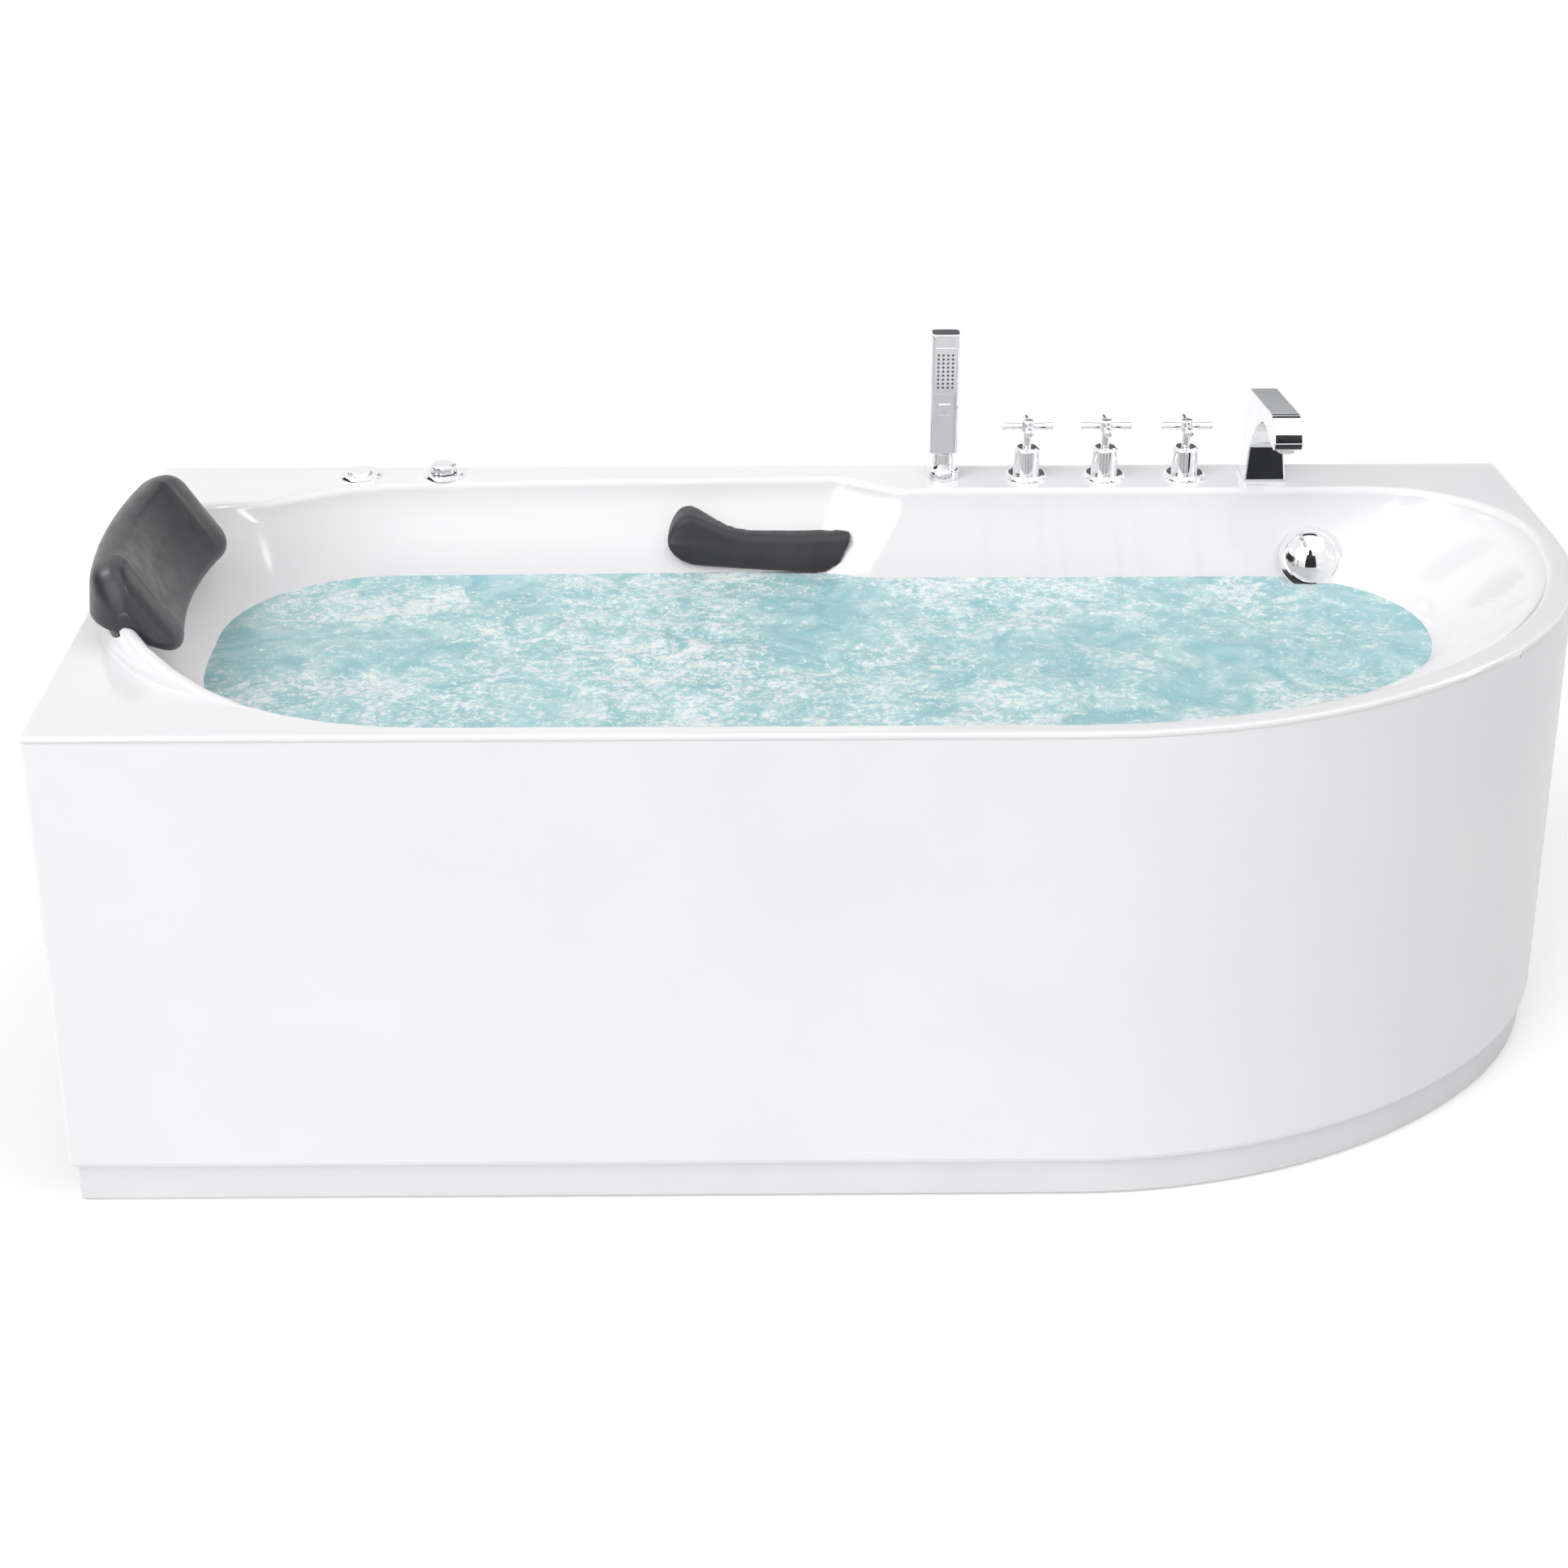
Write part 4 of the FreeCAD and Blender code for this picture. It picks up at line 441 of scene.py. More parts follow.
def basin_outline(z):
    """The basin's outline at any height from the floor's rounding to above the rim."""
    down = (BASIN_START - LOW_LEVEL) / (WATER_LEVEL - LOW_LEVEL) * LOW_SLOPE
    start = blended(BASIN["low"], BASIN["water"], down)
    lists = [start] + [BASIN[name] for name in ("low", "water", "rim", "crest")]
    heights = [BASIN_START] + [LEVELS[name][0] for name in ("low", "water", "rim", "crest")]
    corners = [tuple(smooth_between(heights, [one[i][k] for one in lists], z) for k in range(3))
               for i in range(len(lists[0]))]
    return outline(eased(corners, BASIN_STRAIGHT))


def deck_corners(inset):
    """Outer plan of the tub, drawn in by inset: square head end, rounded foot end."""
    side = HALF_WIDTH - inset
    head = inset - HALF_LENGTH
    near, far = foot_corners(-side, FOOT_REACH - inset, FOOT_RADIUS - inset, FOOT_CENTRE)
    lean = math.atan2(FOOT_LEAN, side - far[1])
    far = (far[0], far[1],
           far[2] * math.tan(REST_TURN / 2) / math.tan((REST_TURN + lean) / 2))
    corner = max(DECK_CORNER - inset, 1)
    return [(head, -side, corner), near, far, (FOOT_REACH - FOOT_LEAN - inset, side, corner),
            (head, side, corner)]


def outwards(points):
    """The level direction away from the outline at each of its points."""
    count = len(points)
    result = []
    for i in range(count):
        along = (points[(i + 1) % count] - points[i - 1]).normalized()
        result.append(Vector((along.y, -along.x)))
    return result


GRID_STEPS = 46
GRID = [BASIN_START + (CREST_LEVEL - BASIN_START) * step / GRID_STEPS
        for step in range(GRID_STEPS + 1)]
GRID_OUTLINES = [basin_outline(z) for z in GRID]


def wall_point(number, z):
    """Where one of the outline's points is on the basin wall at height z."""
    share = (z - GRID[0]) / (GRID[1] - GRID[0])
    i = min(max(int(share), 0), len(GRID) - 2)
    return GRID_OUTLINES[i][number].lerp(GRID_OUTLINES[i + 1][number], share - i)


# ---------------------------------------------------------------- tub

RIM = basin_outline(DECK_TOP)
RIM_OUT = outwards(RIM)
COUNT = len(RIM)
# Radius of the rim's rounded edge, and the steps of the wall below it
ROLL = 11
WALL_STEPS = 26
# The head rim's collar: its height, where its rise starts and is full, how much later it starts
# on the rear side, and over what width that change is spread
CREST_RISE = 38
RISE_START = -625
RISE_FULL = -815
REAR_DELAY = 60
DELAY_WIDTH = 150
# The collar's outer slope: shares of its width and of its height, and the width in millimetres
# where the rim is flush, what is added to it where it is high, and at what height all is added
OUTER_SLOPE = ((0.16, 0.02), (0.32, 0.14), (0.44, 0.36), (0.52, 0.62), (0.62, 0.84),
               (0.78, 0.96), (1.0, 1.0))
SLOPE_WIDTH = 4
SLOPE_WIDENS = 16
SLOPE_WIDE_AT = 12
# The deck's outer edge, as (inset, drop) in millimetres: a slight fall, the rounding, the edge
DECK_EDGE = ((8, 0.1), (3.2, 0.2), (1.6, 0.6), (0.5, 1.6), (0, 3.2), (0, 7))
SHEET_THICKNESS = 5


def head_rise(x, y):
    """How far the head rim stands above the deck; it starts later along the rear side."""
    start = RISE_START - REAR_DELAY * min(max(y / DELAY_WIDTH, 0), 1)
    share = min(max((start - x) / (start - RISE_FULL), 0), 1)
    return CREST_RISE * share * share * (3 - 2 * share)


RISES = [head_rise(point.x, point.y) for point in RIM]


def flat_ring(points, z):
    """The outline's points at one height."""
    return [Vector((point.x, point.y, z)) * MM for point in points]


def tub_rings():
    """The basin from its floor up the wall, over the rim and down the collar to the deck.

    The angles are those of the floor's rounding and of the rim's.
    """
    rings = []
    base = GRID_OUTLINES[0]
    away = outwards(base)
    for angle in (0, 15, 30, 45, 60, 75):
        turn = math.radians(angle)
        drawn = [p - n * FLOOR_ROUND * (1 - math.sin(turn)) for p, n in zip(base, away)]
        rings.append(flat_ring(drawn, BASIN_START - FLOOR_ROUND * math.cos(turn)))
    for level in range(WALL_STEPS + 1):
        share = level / WALL_STEPS
        points = []
        for i in range(COUNT):
            z = BASIN_START + (DECK_TOP + RISES[i] - ROLL - BASIN_START) * share
            place = wall_point(i, z)
            points.append(Vector((place.x, place.y, z)) * MM)
        rings.append(points)
    tops = [wall_point(i, DECK_TOP + RISES[i] - ROLL) for i in range(COUNT)]
    for angle in (18, 36, 54, 72, 90):
        turn = math.radians(angle)
        rings.append([
            Vector((*(tops[i] + RIM_OUT[i] * ROLL * (1 - math.cos(turn))),
                    DECK_TOP + RISES[i] - ROLL * (1 - math.sin(turn)))) * MM
            for i in range(COUNT)])
    for reach, drop in OUTER_SLOPE:
        points = []
        for i in range(COUNT):
            width = SLOPE_WIDTH + SLOPE_WIDENS * min(RISES[i] / SLOPE_WIDE_AT, 1)
            place = tops[i] + RIM_OUT[i] * (ROLL + width * reach)
            points.append(Vector((place.x, place.y, DECK_TOP + RISES[i] * (1 - drop))) * MM)
        rings.append(points)
    return rings


def deck_ring(inset, drop):
    """The deck's outline with one point for each point of the rim, beside it.

    The keys say which point of the rim goes with which place on the deck's line. The four points
    of each square corner have fixed partners, the rim's arc ends have the nearest point, and the
    points between them are spread evenly.
    """
    line = outline(deck_corners(inset), (4, 24, 24, 4, 4), (40, 3, 12, 80, 40))
    keys = {}
    for rim_start, deck_start in ((4, 0), (54, 104), (114, 187)):
        keys.update({rim_start + step: deck_start + step for step in range(4)})
    for number in (11, 23, 34, 37, 48, 61, 73, 84, 87, 98, 110, 121):
        keys[number] = min(range(len(line)), key=lambda i: (line[i] - RIM[number]).length)
    keys[COUNT + 4] = len(line)
    stops = sorted(keys)
    points = []
    for start, end in zip(stops, stops[1:]):
        for number in range(start, end):
            place = keys[start] + (keys[end] - keys[start]) * (number - start) / (end - start)
            here = line[int(place) % len(line)]
            points.append(here.lerp(line[(int(place) + 1) % len(line)], place - int(place)))
    return flat_ring(points[-4:] + points[:-4], DECK_TOP - drop)


def tub_mesh():
    """The tub's upper surface, from the basin's floor to the lower edge of the deck."""
    mesh = bmesh.new()
    skinned(mesh, tub_rings(), first=True)
    inner = [edge for edge in mesh.edges if edge.is_boundary]
    loops = [ring(mesh, deck_ring(inset, drop)) for inset, drop in DECK_EDGE]
    bmesh.ops.bridge_loops(mesh, edges=inner + loops[0])
    for low, high in zip(loops, loops[1:]):
        bmesh.ops.bridge_loops(mesh, edges=low + high)
    bmesh.ops.recalc_face_normals(mesh, faces=mesh.faces)
    floor = min(mesh.faces, key=lambda face: face.calc_center_median().z)
    if floor.normal.z < 0:
        bmesh.ops.reverse_faces(mesh, faces=mesh.faces)
    return mesh


shell = tub_mesh()
TUB_SURFACE = BVHTree.FromBMesh(shell)
tub = finished("tub", shell, ACRYLIC, "tub", ["tub_shell"])
thickness = tub.modifiers.new("Sheet", "SOLIDIFY")
thickness.thickness = SHEET_THICKNESS * MM
thickness.offset = -1


# ---------------------------------------------------------------- soft parts

# The armrest pad's lobe: how high its lower edge reaches, how far that edge is lifted and over
# what share of the pad, the length that is rounded off, and the height of the lobe's middle
LOBE_EDGE = 45 * MM
LOBE_LIFT = 15 * MM
LOBE_SHARE = 0.85
LOBE_ROUND = 34 * MM
LOBE_MIDDLE = 44 * MM
# The pad's even skin: its mesh size in millimetres, the rounds of easing, and what is put back
PAD_VOXEL = 2.5
PAD_ROUNDS = 3
PAD_SWELL = 0.3
# The least gap between the pillow and the tub, in millimetres
PILLOW_GAP = 1.0
# The pillow, in millimetres: the middle and half its length, where its ends start to round off
# and over what length, half the length of the neck's dent, where the piping is and its width,
# how far the ends bow towards the bather, and the point that the ends shrink to
PILLOW_MIDDLE = -8
PILLOW_HALF = 184
END_START = 128
END_LENGTH = 57
DENT_HALF = 120
PIPING_AT = 117
PIPING_WIDTH = 7
PILLOW_BOW = 20
PILLOW_HEART = Vector((-794, 588))
END_SHARE = 0.16
# Stations along half the pillow, closer together at the piping and at the end
PILLOW_STATIONS = (0, 24, 48, 70, 90, 104, 112, 117, 122, 130, 140, 151, 161, 170, 177, 182,
                   PILLOW_HALF)


def foam(node_name, voxel, rounds):
    """The node's form as one even skin, its edges eased as moulded foam's are."""
    copy = bpy.data.objects.new("foam", NODES[node_name].data.copy())
    bpy.context.scene.collection.objects.link(copy)
    mesh = bmesh.new()
    mesh.from_mesh(copy.data)
    bmesh.ops.remove_doubles(mesh, verts=mesh.verts, dist=PACKED_WELD)
    mesh.to_mesh(copy.data)
    mesh.free()
    remesh = copy.modifiers.new("Even", "REMESH")
    remesh.mode = "VOXEL"
    remesh.voxel_size = voxel * MM
    graph = bpy.context.evaluated_depsgraph_get()
    mesh = bmesh.new()
    mesh.from_object(copy, graph)
    bpy.data.objects.remove(copy)
    for _ in range(rounds):
        bmesh.ops.smooth_vert(mesh, verts=mesh.verts, factor=0.5,
                              use_axis_x=True, use_axis_y=True, use_axis_z=True)
    return mesh


def swell(mesh, amount):
    """Moves the skin out along its normals, to make up for what the easing took."""
    mesh.normal_update()
    for vert in mesh.verts:
        vert.co += vert.normal * amount * MM


def shape_lobe(mesh):
    """Rounds the pad's raised head-end lobe and lifts its lower edge clear of the water."""
    low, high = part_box("armrest_pad")
    length = high[0] - low[0]
    middle = low[2] + LOBE_MIDDLE
    for vert in mesh.verts:
        along = (vert.co.x - low[0]) / length
        under = min(max((low[2] + LOBE_EDGE - vert.co.z) / LOBE_EDGE, 0), 1)
        vert.co.z += LOBE_LIFT * under * max(1 - along / LOBE_SHARE, 0)
        round_off = max(1 - (vert.co.x - low[0]) / LOBE_ROUND, 0)
        vert.co.z = middle + (vert.co.z - middle) * (1 - min(round_off, 1) ** 2.4) ** 0.5


def cushion(name, node_name, mesh, material):
    """A soft part on the tub that stands for its node."""
    piece = finished(name, mesh, material, "tub", [node_name])
    fine = piece.modifiers.new("Fine", "SUBSURF")
    fine.levels = 1
    fine.render_levels = 1
    return piece


def pillow_ring(y):
    """The pillow cut across at y: sloping face, top roll, outer side, hook over the rim.

    The corners are x, z and radius.
    """
    away = abs(y - PILLOW_MIDDLE)
    beyond = min(max((away - END_START) / END_LENGTH, 0), 1)
    full = (1 - beyond ** 2.2) ** 0.55
    hollow = 1 - (min(away, DENT_HALF) / DENT_HALF) ** 2
    piping = math.exp(-((away - PIPING_AT) / PIPING_WIDTH) ** 2)
    corners = [
        (-739 - 3 * hollow + 1.5 * piping, 547 + 3 * hollow, 7),
        (-741 - 3 * hollow, 562, 12),
        (-775 - 5 * hollow + 2 * piping, 612 - 2 * hollow + piping, 60),
        (-803 - 3 * hollow + 1.5 * piping, 654 + piping, 17),
        (-836, 642, 24), (-841, 590, 7), (-800, 566, 10),
    ]
    points = outline(eased(corners, 1), (6, 4, 6, 8, 8, 6, 4), (4, 6, 6, 2, 4, 4, 5))
    size = END_SHARE + (1 - END_SHARE) * full
    shaped = [PILLOW_HEART + (point - PILLOW_HEART) * size for point in points]
    bow = PILLOW_BOW * (away / PILLOW_HALF) ** 2
    return [Vector((point.x + bow, y, point.y)) * MM for point in shaped]


def pillow_mesh():
    """The pillow from end to end, its rings eased into one another."""
    mesh = bmesh.new()
    places = [PILLOW_MIDDLE - y for y in reversed(PILLOW_STATIONS)]
    places += [PILLOW_MIDDLE + y for y in PILLOW_STATIONS[1:]]
    skinned(mesh, [pillow_ring(y) for y in places], True, True)
    for _ in range(2):
        bmesh.ops.smooth_vert(mesh, verts=mesh.verts, factor=0.4,
                              use_axis_x=True, use_axis_y=True, use_axis_z=True)
    return mesh


def clear_of_tub(mesh, gap):
    """Rests the piece on the tub: what would sink into it is moved out to its surface."""
    for vert in mesh.verts:
        place, normal, _, _ = TUB_SURFACE.find_nearest(vert.co)
        if (vert.co - place).dot(normal) < gap * MM:
            vert.co = place + normal * gap * MM


pillow = pillow_mesh()
bmesh.ops.subdivide_edges(pillow, edges=pillow.edges, cuts=1, use_grid_fill=True)
clear_of_tub(pillow, PILLOW_GAP)
cushion("head_pillow", "headrest_pillow", pillow, PILLOW_SKIN)
pad = foam("armrest_pad", PAD_VOXEL, PAD_ROUNDS)
swell(pad, PAD_SWELL)
shape_lobe(pad)
cushion("arm_cushion", "armrest_pad", pad, ARMREST_SKIN)


# ---------------------------------------------------------------- taps on the deck

TAP_Y = 355
TAPS = {"hot": 236, "diverter": 334, "cold": 435}
TAIL_LENGTH = 104
ARM_HEIGHT = 66.5


def valve_mesh(x):
    """A valve: threaded tail below the deck, shank through it and the collar above."""
    mesh = bmesh.new()
    lathe(mesh, [(0, 0), (7.5, 0), (7.5, 26), (14, 26), (14, 110), (16.5, 110), (16.5, 141),
                 (12.5, 144), (0, 144)], at(x, TAP_Y, DECK_TOP - TAIL_LENGTH))
    softened(mesh, 0.8)
    return mesh


def handle_mesh(x):
    """A cross handle: turned hub with a domed cap, four arms with rounded ends."""
    mesh = bmesh.new()
    lathe(mesh, [(0, 28.6), (4, 28.6), (4, 40.6), (5.5, 40.6), (5.5, 59), (8, 61), (8, 73),
                 (6.6, 74.8), (3.6, 75.5), (0, 75.5)], at(0, 0, 0))
    softened(mesh, 0.5, 2)
    for turn in range(4):
        arm = bmesh.new()
        lathe(arm, [(0, 0), (4, 0), (4.2, 9), (5, 30), (4.6, 31.8), (3, 32.4), (0, 32.5)],
              at(0, 0, 0), 40)
        way = Matrix.Rotation(math.radians(90 * turn), 4, "Z") @ Matrix.Rotation(
            math.radians(90), 4, "Y")
        bmesh.ops.transform(arm, matrix=at(0, 0, ARM_HEIGHT) @ way, verts=arm.verts)
        joined(mesh, arm)
    bmesh.ops.transform(mesh, matrix=at(x, TAP_Y, DECK_TOP), verts=mesh.verts)
    return mesh


flanges = bmesh.new()
for name, x in TAPS.items():
    finished(f"{name}_valve", valve_mesh(x), CHROME, "tub",
             [f"{name}_valve_body"], True)
    finished(f"{name}_cross", handle_mesh(x), CHROME, f"{name}_handle",
             [f"{name}_cross_handle"], True)
    flange = bmesh.new()
    lathe(flange, [(14, 0), (27, 0), (26.4, 2.2), (24.6, 4.6), (22.5, 6), (14, 6), (14, 0)],
          at(x, TAP_Y, DECK_TOP))
    softened(flange, 0.5, 2)
    joined(flanges, flange)
finished("valve_flanges", flanges, CHROME, "tub", ["tap_flanges"], True)


# ---------------------------------------------------------------- hand shower

def block(mesh, low, high):
    """A block between two corners, given in millimetres."""
    middle = [(a + b) / 2 for a, b in zip(low, high)]
    spans = [b - a for a, b in zip(low, high)]
    scale = Matrix.Diagonal([span * MM for span in spans] + [1])
    return bmesh.ops.create_cube(mesh, size=1.0, matrix=at(*middle) @ scale)["verts"]


# The spray plate has four columns of nine nozzles, this far apart, the lowest at this height
HANDSET_X = 131
NOZZLE_ROWS = 9
NOZZLE_COLUMNS = 4
NOZZLE_APART_X = 5.9
NOZZLE_APART_Z = 5.2
LOWEST_NOZZLE = 684
PLATE_FACE_Y = 341.35
grip = bmesh.new()
block(grip, (113, 342, 596.3), (149, 368, 751.3))
upright = [edge for edge in grip.edges if abs(edge.verts[0].co.z - edge.verts[1].co.z) > 0.1]
bmesh.ops.bevel(grip, geom=upright, offset=7 * MM, offset_type="OFFSET", affect="EDGES",
                segments=6, profile=0.5, material=-1, clamp_overlap=True)
softened(grip, 1.6, 3, 50.0)
spigot = bmesh.new()
lathe(spigot, [(0, 574), (9, 574), (9, 598), (0, 598)], at(HANDSET_X, TAP_Y, 0), 48)
softened(spigot, 0.6, 2)
joined(grip, spigot)
plate = bmesh.new()
block(plate, (118, 341.2, 675), (144, 344, 735))
softened(plate, 0.7, 3)
joined(grip, plate)
finished("hand_shower_body", grip, CHROME, "hand_shower", ["handset"], True)

nozzles = bmesh.new()
for row in range(NOZZLE_ROWS):
    for column in range(NOZZLE_COLUMNS):
        nozzle = bmesh.new()
        turn = Matrix.Rotation(math.radians(90), 4, "X")
        across = (column - (NOZZLE_COLUMNS - 1) / 2) * NOZZLE_APART_X
        lathe(nozzle, [(0, 0), (1.6, 0), (1.4, 0.6), (0.9, 0.9), (0, 0.9)],
              at(HANDSET_X + across, PLATE_FACE_Y, LOWEST_NOZZLE + row * NOZZLE_APART_Z) @ turn,
              12)
        joined(nozzles, nozzle)
finished("spray_nozzles", nozzles, NOZZLE_RUBBER, "hand_shower")

key = bmesh.new()
block(key, (123.5, 340.4, 647.8), (138.5, 347, 662.8))
softened(key, 1.4, 4)
finished("hand_shower_key", key, CHROME, "handset_key", ["handset_button"], True)

holder = bmesh.new()
lathe(holder, [(9.05, 0), (14, 0), (14, 52), (21, 52), (20.6, 60), (19.5, 63.6), (17, 64.2),
               (14.4, 68), (13.5, 74), (13.5, 86), (9.05, 86), (9.05, 0)],
      at(HANDSET_X, TAP_Y, 510))
softened(holder, 0.6, 2)
finished("shower_cradle", holder, CHROME, "tub", ["handset_holder"], True)


# ---------------------------------------------------------------- bath spout

# Where the spout stands, half its width at the foot and at the top, and the height over which
# it narrows
SPOUT_X = 533
SPOUT_Y = 359
SPOUT_HALF_FOOT = 26
SPOUT_HALF_TOP = 18
SPOUT_NARROWS = 86


def arc_through(start, middle, end, count):
    """Points on the circle through three (y, z) points, from start to end."""
    a, b, c = Vector(start), Vector(middle), Vector(end)
    d = 2 * (a.x * (b.y - c.y) + b.x * (c.y - a.y) + c.x * (a.y - b.y))
    ux = (a.length_squared * (b.y - c.y) + b.length_squared * (c.y - a.y)
          + c.length_squared * (a.y - b.y)) / d
    uy = (a.length_squared * (c.x - b.x) + b.length_squared * (a.x - c.x)
          + c.length_squared * (b.x - a.x)) / d
    centre = Vector((ux, uy))
    first = a - centre
    whole = first.angle_signed(c - centre)
    half = first.angle_signed(b - centre)
    if whole * half < 0:
        whole -= math.copysign(math.tau, whole)
    points = []
    for step in range(count + 1):
        spoke = first.copy()
        spoke.rotate(Matrix.Rotation(-whole * step / count, 2))
        points.append(tuple(centre + spoke))
    return points


def spout_mesh():
    """The spout's side view, given its width, narrowed towards the top and rounded.

    The side view is y and z: up the back, along the top, round the nose and back underneath.
    """
    y, z = SPOUT_Y, DECK_TOP
    lip_y, lip_z = y - 163, z + 98
    side = [(y + 27, z), (y + 25, z + 106), (lip_y + 38, z + 124)]
    side += arc_through(side[-1], (lip_y + 11, lip_z + 17), (lip_y, lip_z), 6)[1:]
    side += [(lip_y + 4, lip_z - 10), (lip_y + 30, lip_z - 8)]
    side += arc_through(side[-1], (y - 52, lip_z - 14), (y - 22, z + 42), 12)[1:]
    side.append((y - 26, z))
    mesh = bmesh.new()
    verts = [mesh.verts.new(Vector((-SPOUT_HALF_FOOT, py, pz)) * MM) for py, pz in side]
    flank = mesh.faces.new(verts)
    wide = bmesh.ops.extrude_face_region(mesh, geom=[flank])
    moved = [item for item in wide["geom"] if isinstance(item, bmesh.types.BMVert)]
    bmesh.ops.translate(mesh, vec=(2 * SPOUT_HALF_FOOT * MM, 0, 0), verts=moved)
    for vert in mesh.verts:
        share = min(max((vert.co.z / MM - z) / SPOUT_NARROWS, 0), 1)
        vert.co.x *= 1 + (SPOUT_HALF_TOP / SPOUT_HALF_FOOT - 1) * share
    bmesh.ops.translate(mesh, vec=(SPOUT_X * MM, 0, 0), verts=mesh.verts)
    bmesh.ops.recalc_face_normals(mesh, faces=mesh.faces)
    softened(mesh, 2.2, 4, 35.0)
    shank = bmesh.new()
    lathe(shank, [(0, -52), (14, -52), (14, 1), (0, 1)], at(SPOUT_X, y, z), 48)
    joined(mesh, shank)
    return mesh


finished("spout", spout_mesh(), CHROME, "tub", ["bath_spout"], True)


# ---------------------------------------------------------------- air button and air dial

BUTTON_X = -601
DIAL_X = -496
RING_Y = 366
BARREL_END = -44
NIPPLE_END = -56
BARREL_RADIUS = 17
# The dial's petals: how many, the radius between them, what they add to it, and the points
# round the dial; then its upright profile as shares of that radius and heights over the deck
PETALS = 8
PETAL_ROOT = 15.4
PETAL_REACH = 1.5
DIAL_POINTS = 48
DIAL_PROFILE = ((0.94, 5.3), (1.0, 6.6), (1.0, 12.5), (0.93, 15.2), (0.78, 16.6), (0.45, 17.0))


def ring_housing(name, node_name, x, outer, well, depth, nipple):
    """A ring on the deck round a well, with its barrel below and the hose nipple at its end."""
    mesh = bmesh.new()
    lathe(mesh, [(0, NIPPLE_END), (nipple, NIPPLE_END), (nipple, BARREL_END),
                 (BARREL_RADIUS, BARREL_END), (BARREL_RADIUS, 0),
                 (outer, 0), (outer - 0.6, 2.4), (outer - 2.4, 4.6), (outer - 4.4, 5),
                 (well + 2.6, 5), (well + 0.6, 4.2), (well, 3), (well, depth), (0, depth)],
          at(x, RING_Y, DECK_TOP))
    softened(mesh, 0.3, 2)
    finished(name, mesh, CHROME, "tub", [node_name], True)


ring_housing("button_ring", "air_button_housing", BUTTON_X, 27, 14.6, -11.9, 4.5)
crown = bmesh.new()
lathe(crown, [(0, -7.7), (14.5, -7.7), (14.5, 5.6), (13.6, 6.9), (11, 7.3), (5, 7.0),
              (0, 6.9)], at(BUTTON_X, RING_Y, DECK_TOP))
softened(crown, 0.3, 2)
finished("button_crown", crown, CHROME, "air_button", ["air_button"], True)

ring_housing("dial_ring", "air_dial_housing", DIAL_X, 26, 12.5, 1.0, 8)


def dial_mesh():
    """The air dial: a faceted flower with eight petals, a little narrower at its top."""
    mesh = bmesh.new()
    points = []
    for number in range(DIAL_POINTS):
        angle = math.tau * number / DIAL_POINTS
        radius = PETAL_ROOT + PETAL_REACH * abs(math.cos(PETALS / 2 * angle)) ** 0.7
        points.append((radius, angle))
    rings = []
    for share, z in DIAL_PROFILE:
        rings.append([Vector((DIAL_X + r * share * math.cos(a), RING_Y + r * share * math.sin(a),
                              DECK_TOP + z)) * MM for r, a in points])
    skinned(mesh, rings, True, True)
    stalk = bmesh.new()
    lathe(stalk, [(0, -14.7), (5, -14.7), (5, 6), (0, 6)], at(DIAL_X, RING_Y, DECK_TOP), 40)
    joined(mesh, stalk)
    return mesh


finished("dial_flower", dial_mesh(), CHROME, "air_dial", ["air_dial_knob"], True)


# ---------------------------------------------------------------- studio: water, floor, light

# The water's surface: rings from edge to middle, its middle, and the height and length in
# millimetres of its heaps and ripples
WATER_RINGS = 46
WATER_MIDDLE = Vector((-20, 0))
HEAP_HEIGHT = 5
HEAP_LENGTH = 90
RIPPLE_HEIGHT = 2.5
RIPPLE_LENGTH = 22
RIPPLE_LAYER = 40
# Glow that lifts the floor to the world's white where camera and polish see it
FLOOR_LIFT = 0.34
# Half the floor's side, in metres
FLOOR_HALF = 40
# What the white world gives to surfaces; to camera and polish it shows full white
WORLD_LIGHT = 0.40


def water_surface():
    """The water's lively surface: heaps where the jets meet, flat along the walls."""
    mesh = bmesh.new()
    edge = basin_outline(WATER_LEVEL)
    rings = []
    for step in range(WATER_RINGS):
        share = 1 - step / WATER_RINGS
        points = []
        for place in edge:
            spot = WATER_MIDDLE + (place - WATER_MIDDLE) * share
            rise = 0
            if step:
                heap = Vector((spot.x, spot.y, 0)) / HEAP_LENGTH
                ripple = Vector((spot.x, spot.y, RIPPLE_LAYER)) / RIPPLE_LENGTH
                rise = HEAP_HEIGHT * noise.fractal(heap, 0.8, 2.1, 5)
                rise += RIPPLE_HEIGHT * noise.noise(ripple)
            points.append(Vector((spot.x, spot.y, WATER_LEVEL + rise)) * MM)
        rings.append(points)
    skinned(mesh, rings, last=True)
    return mesh


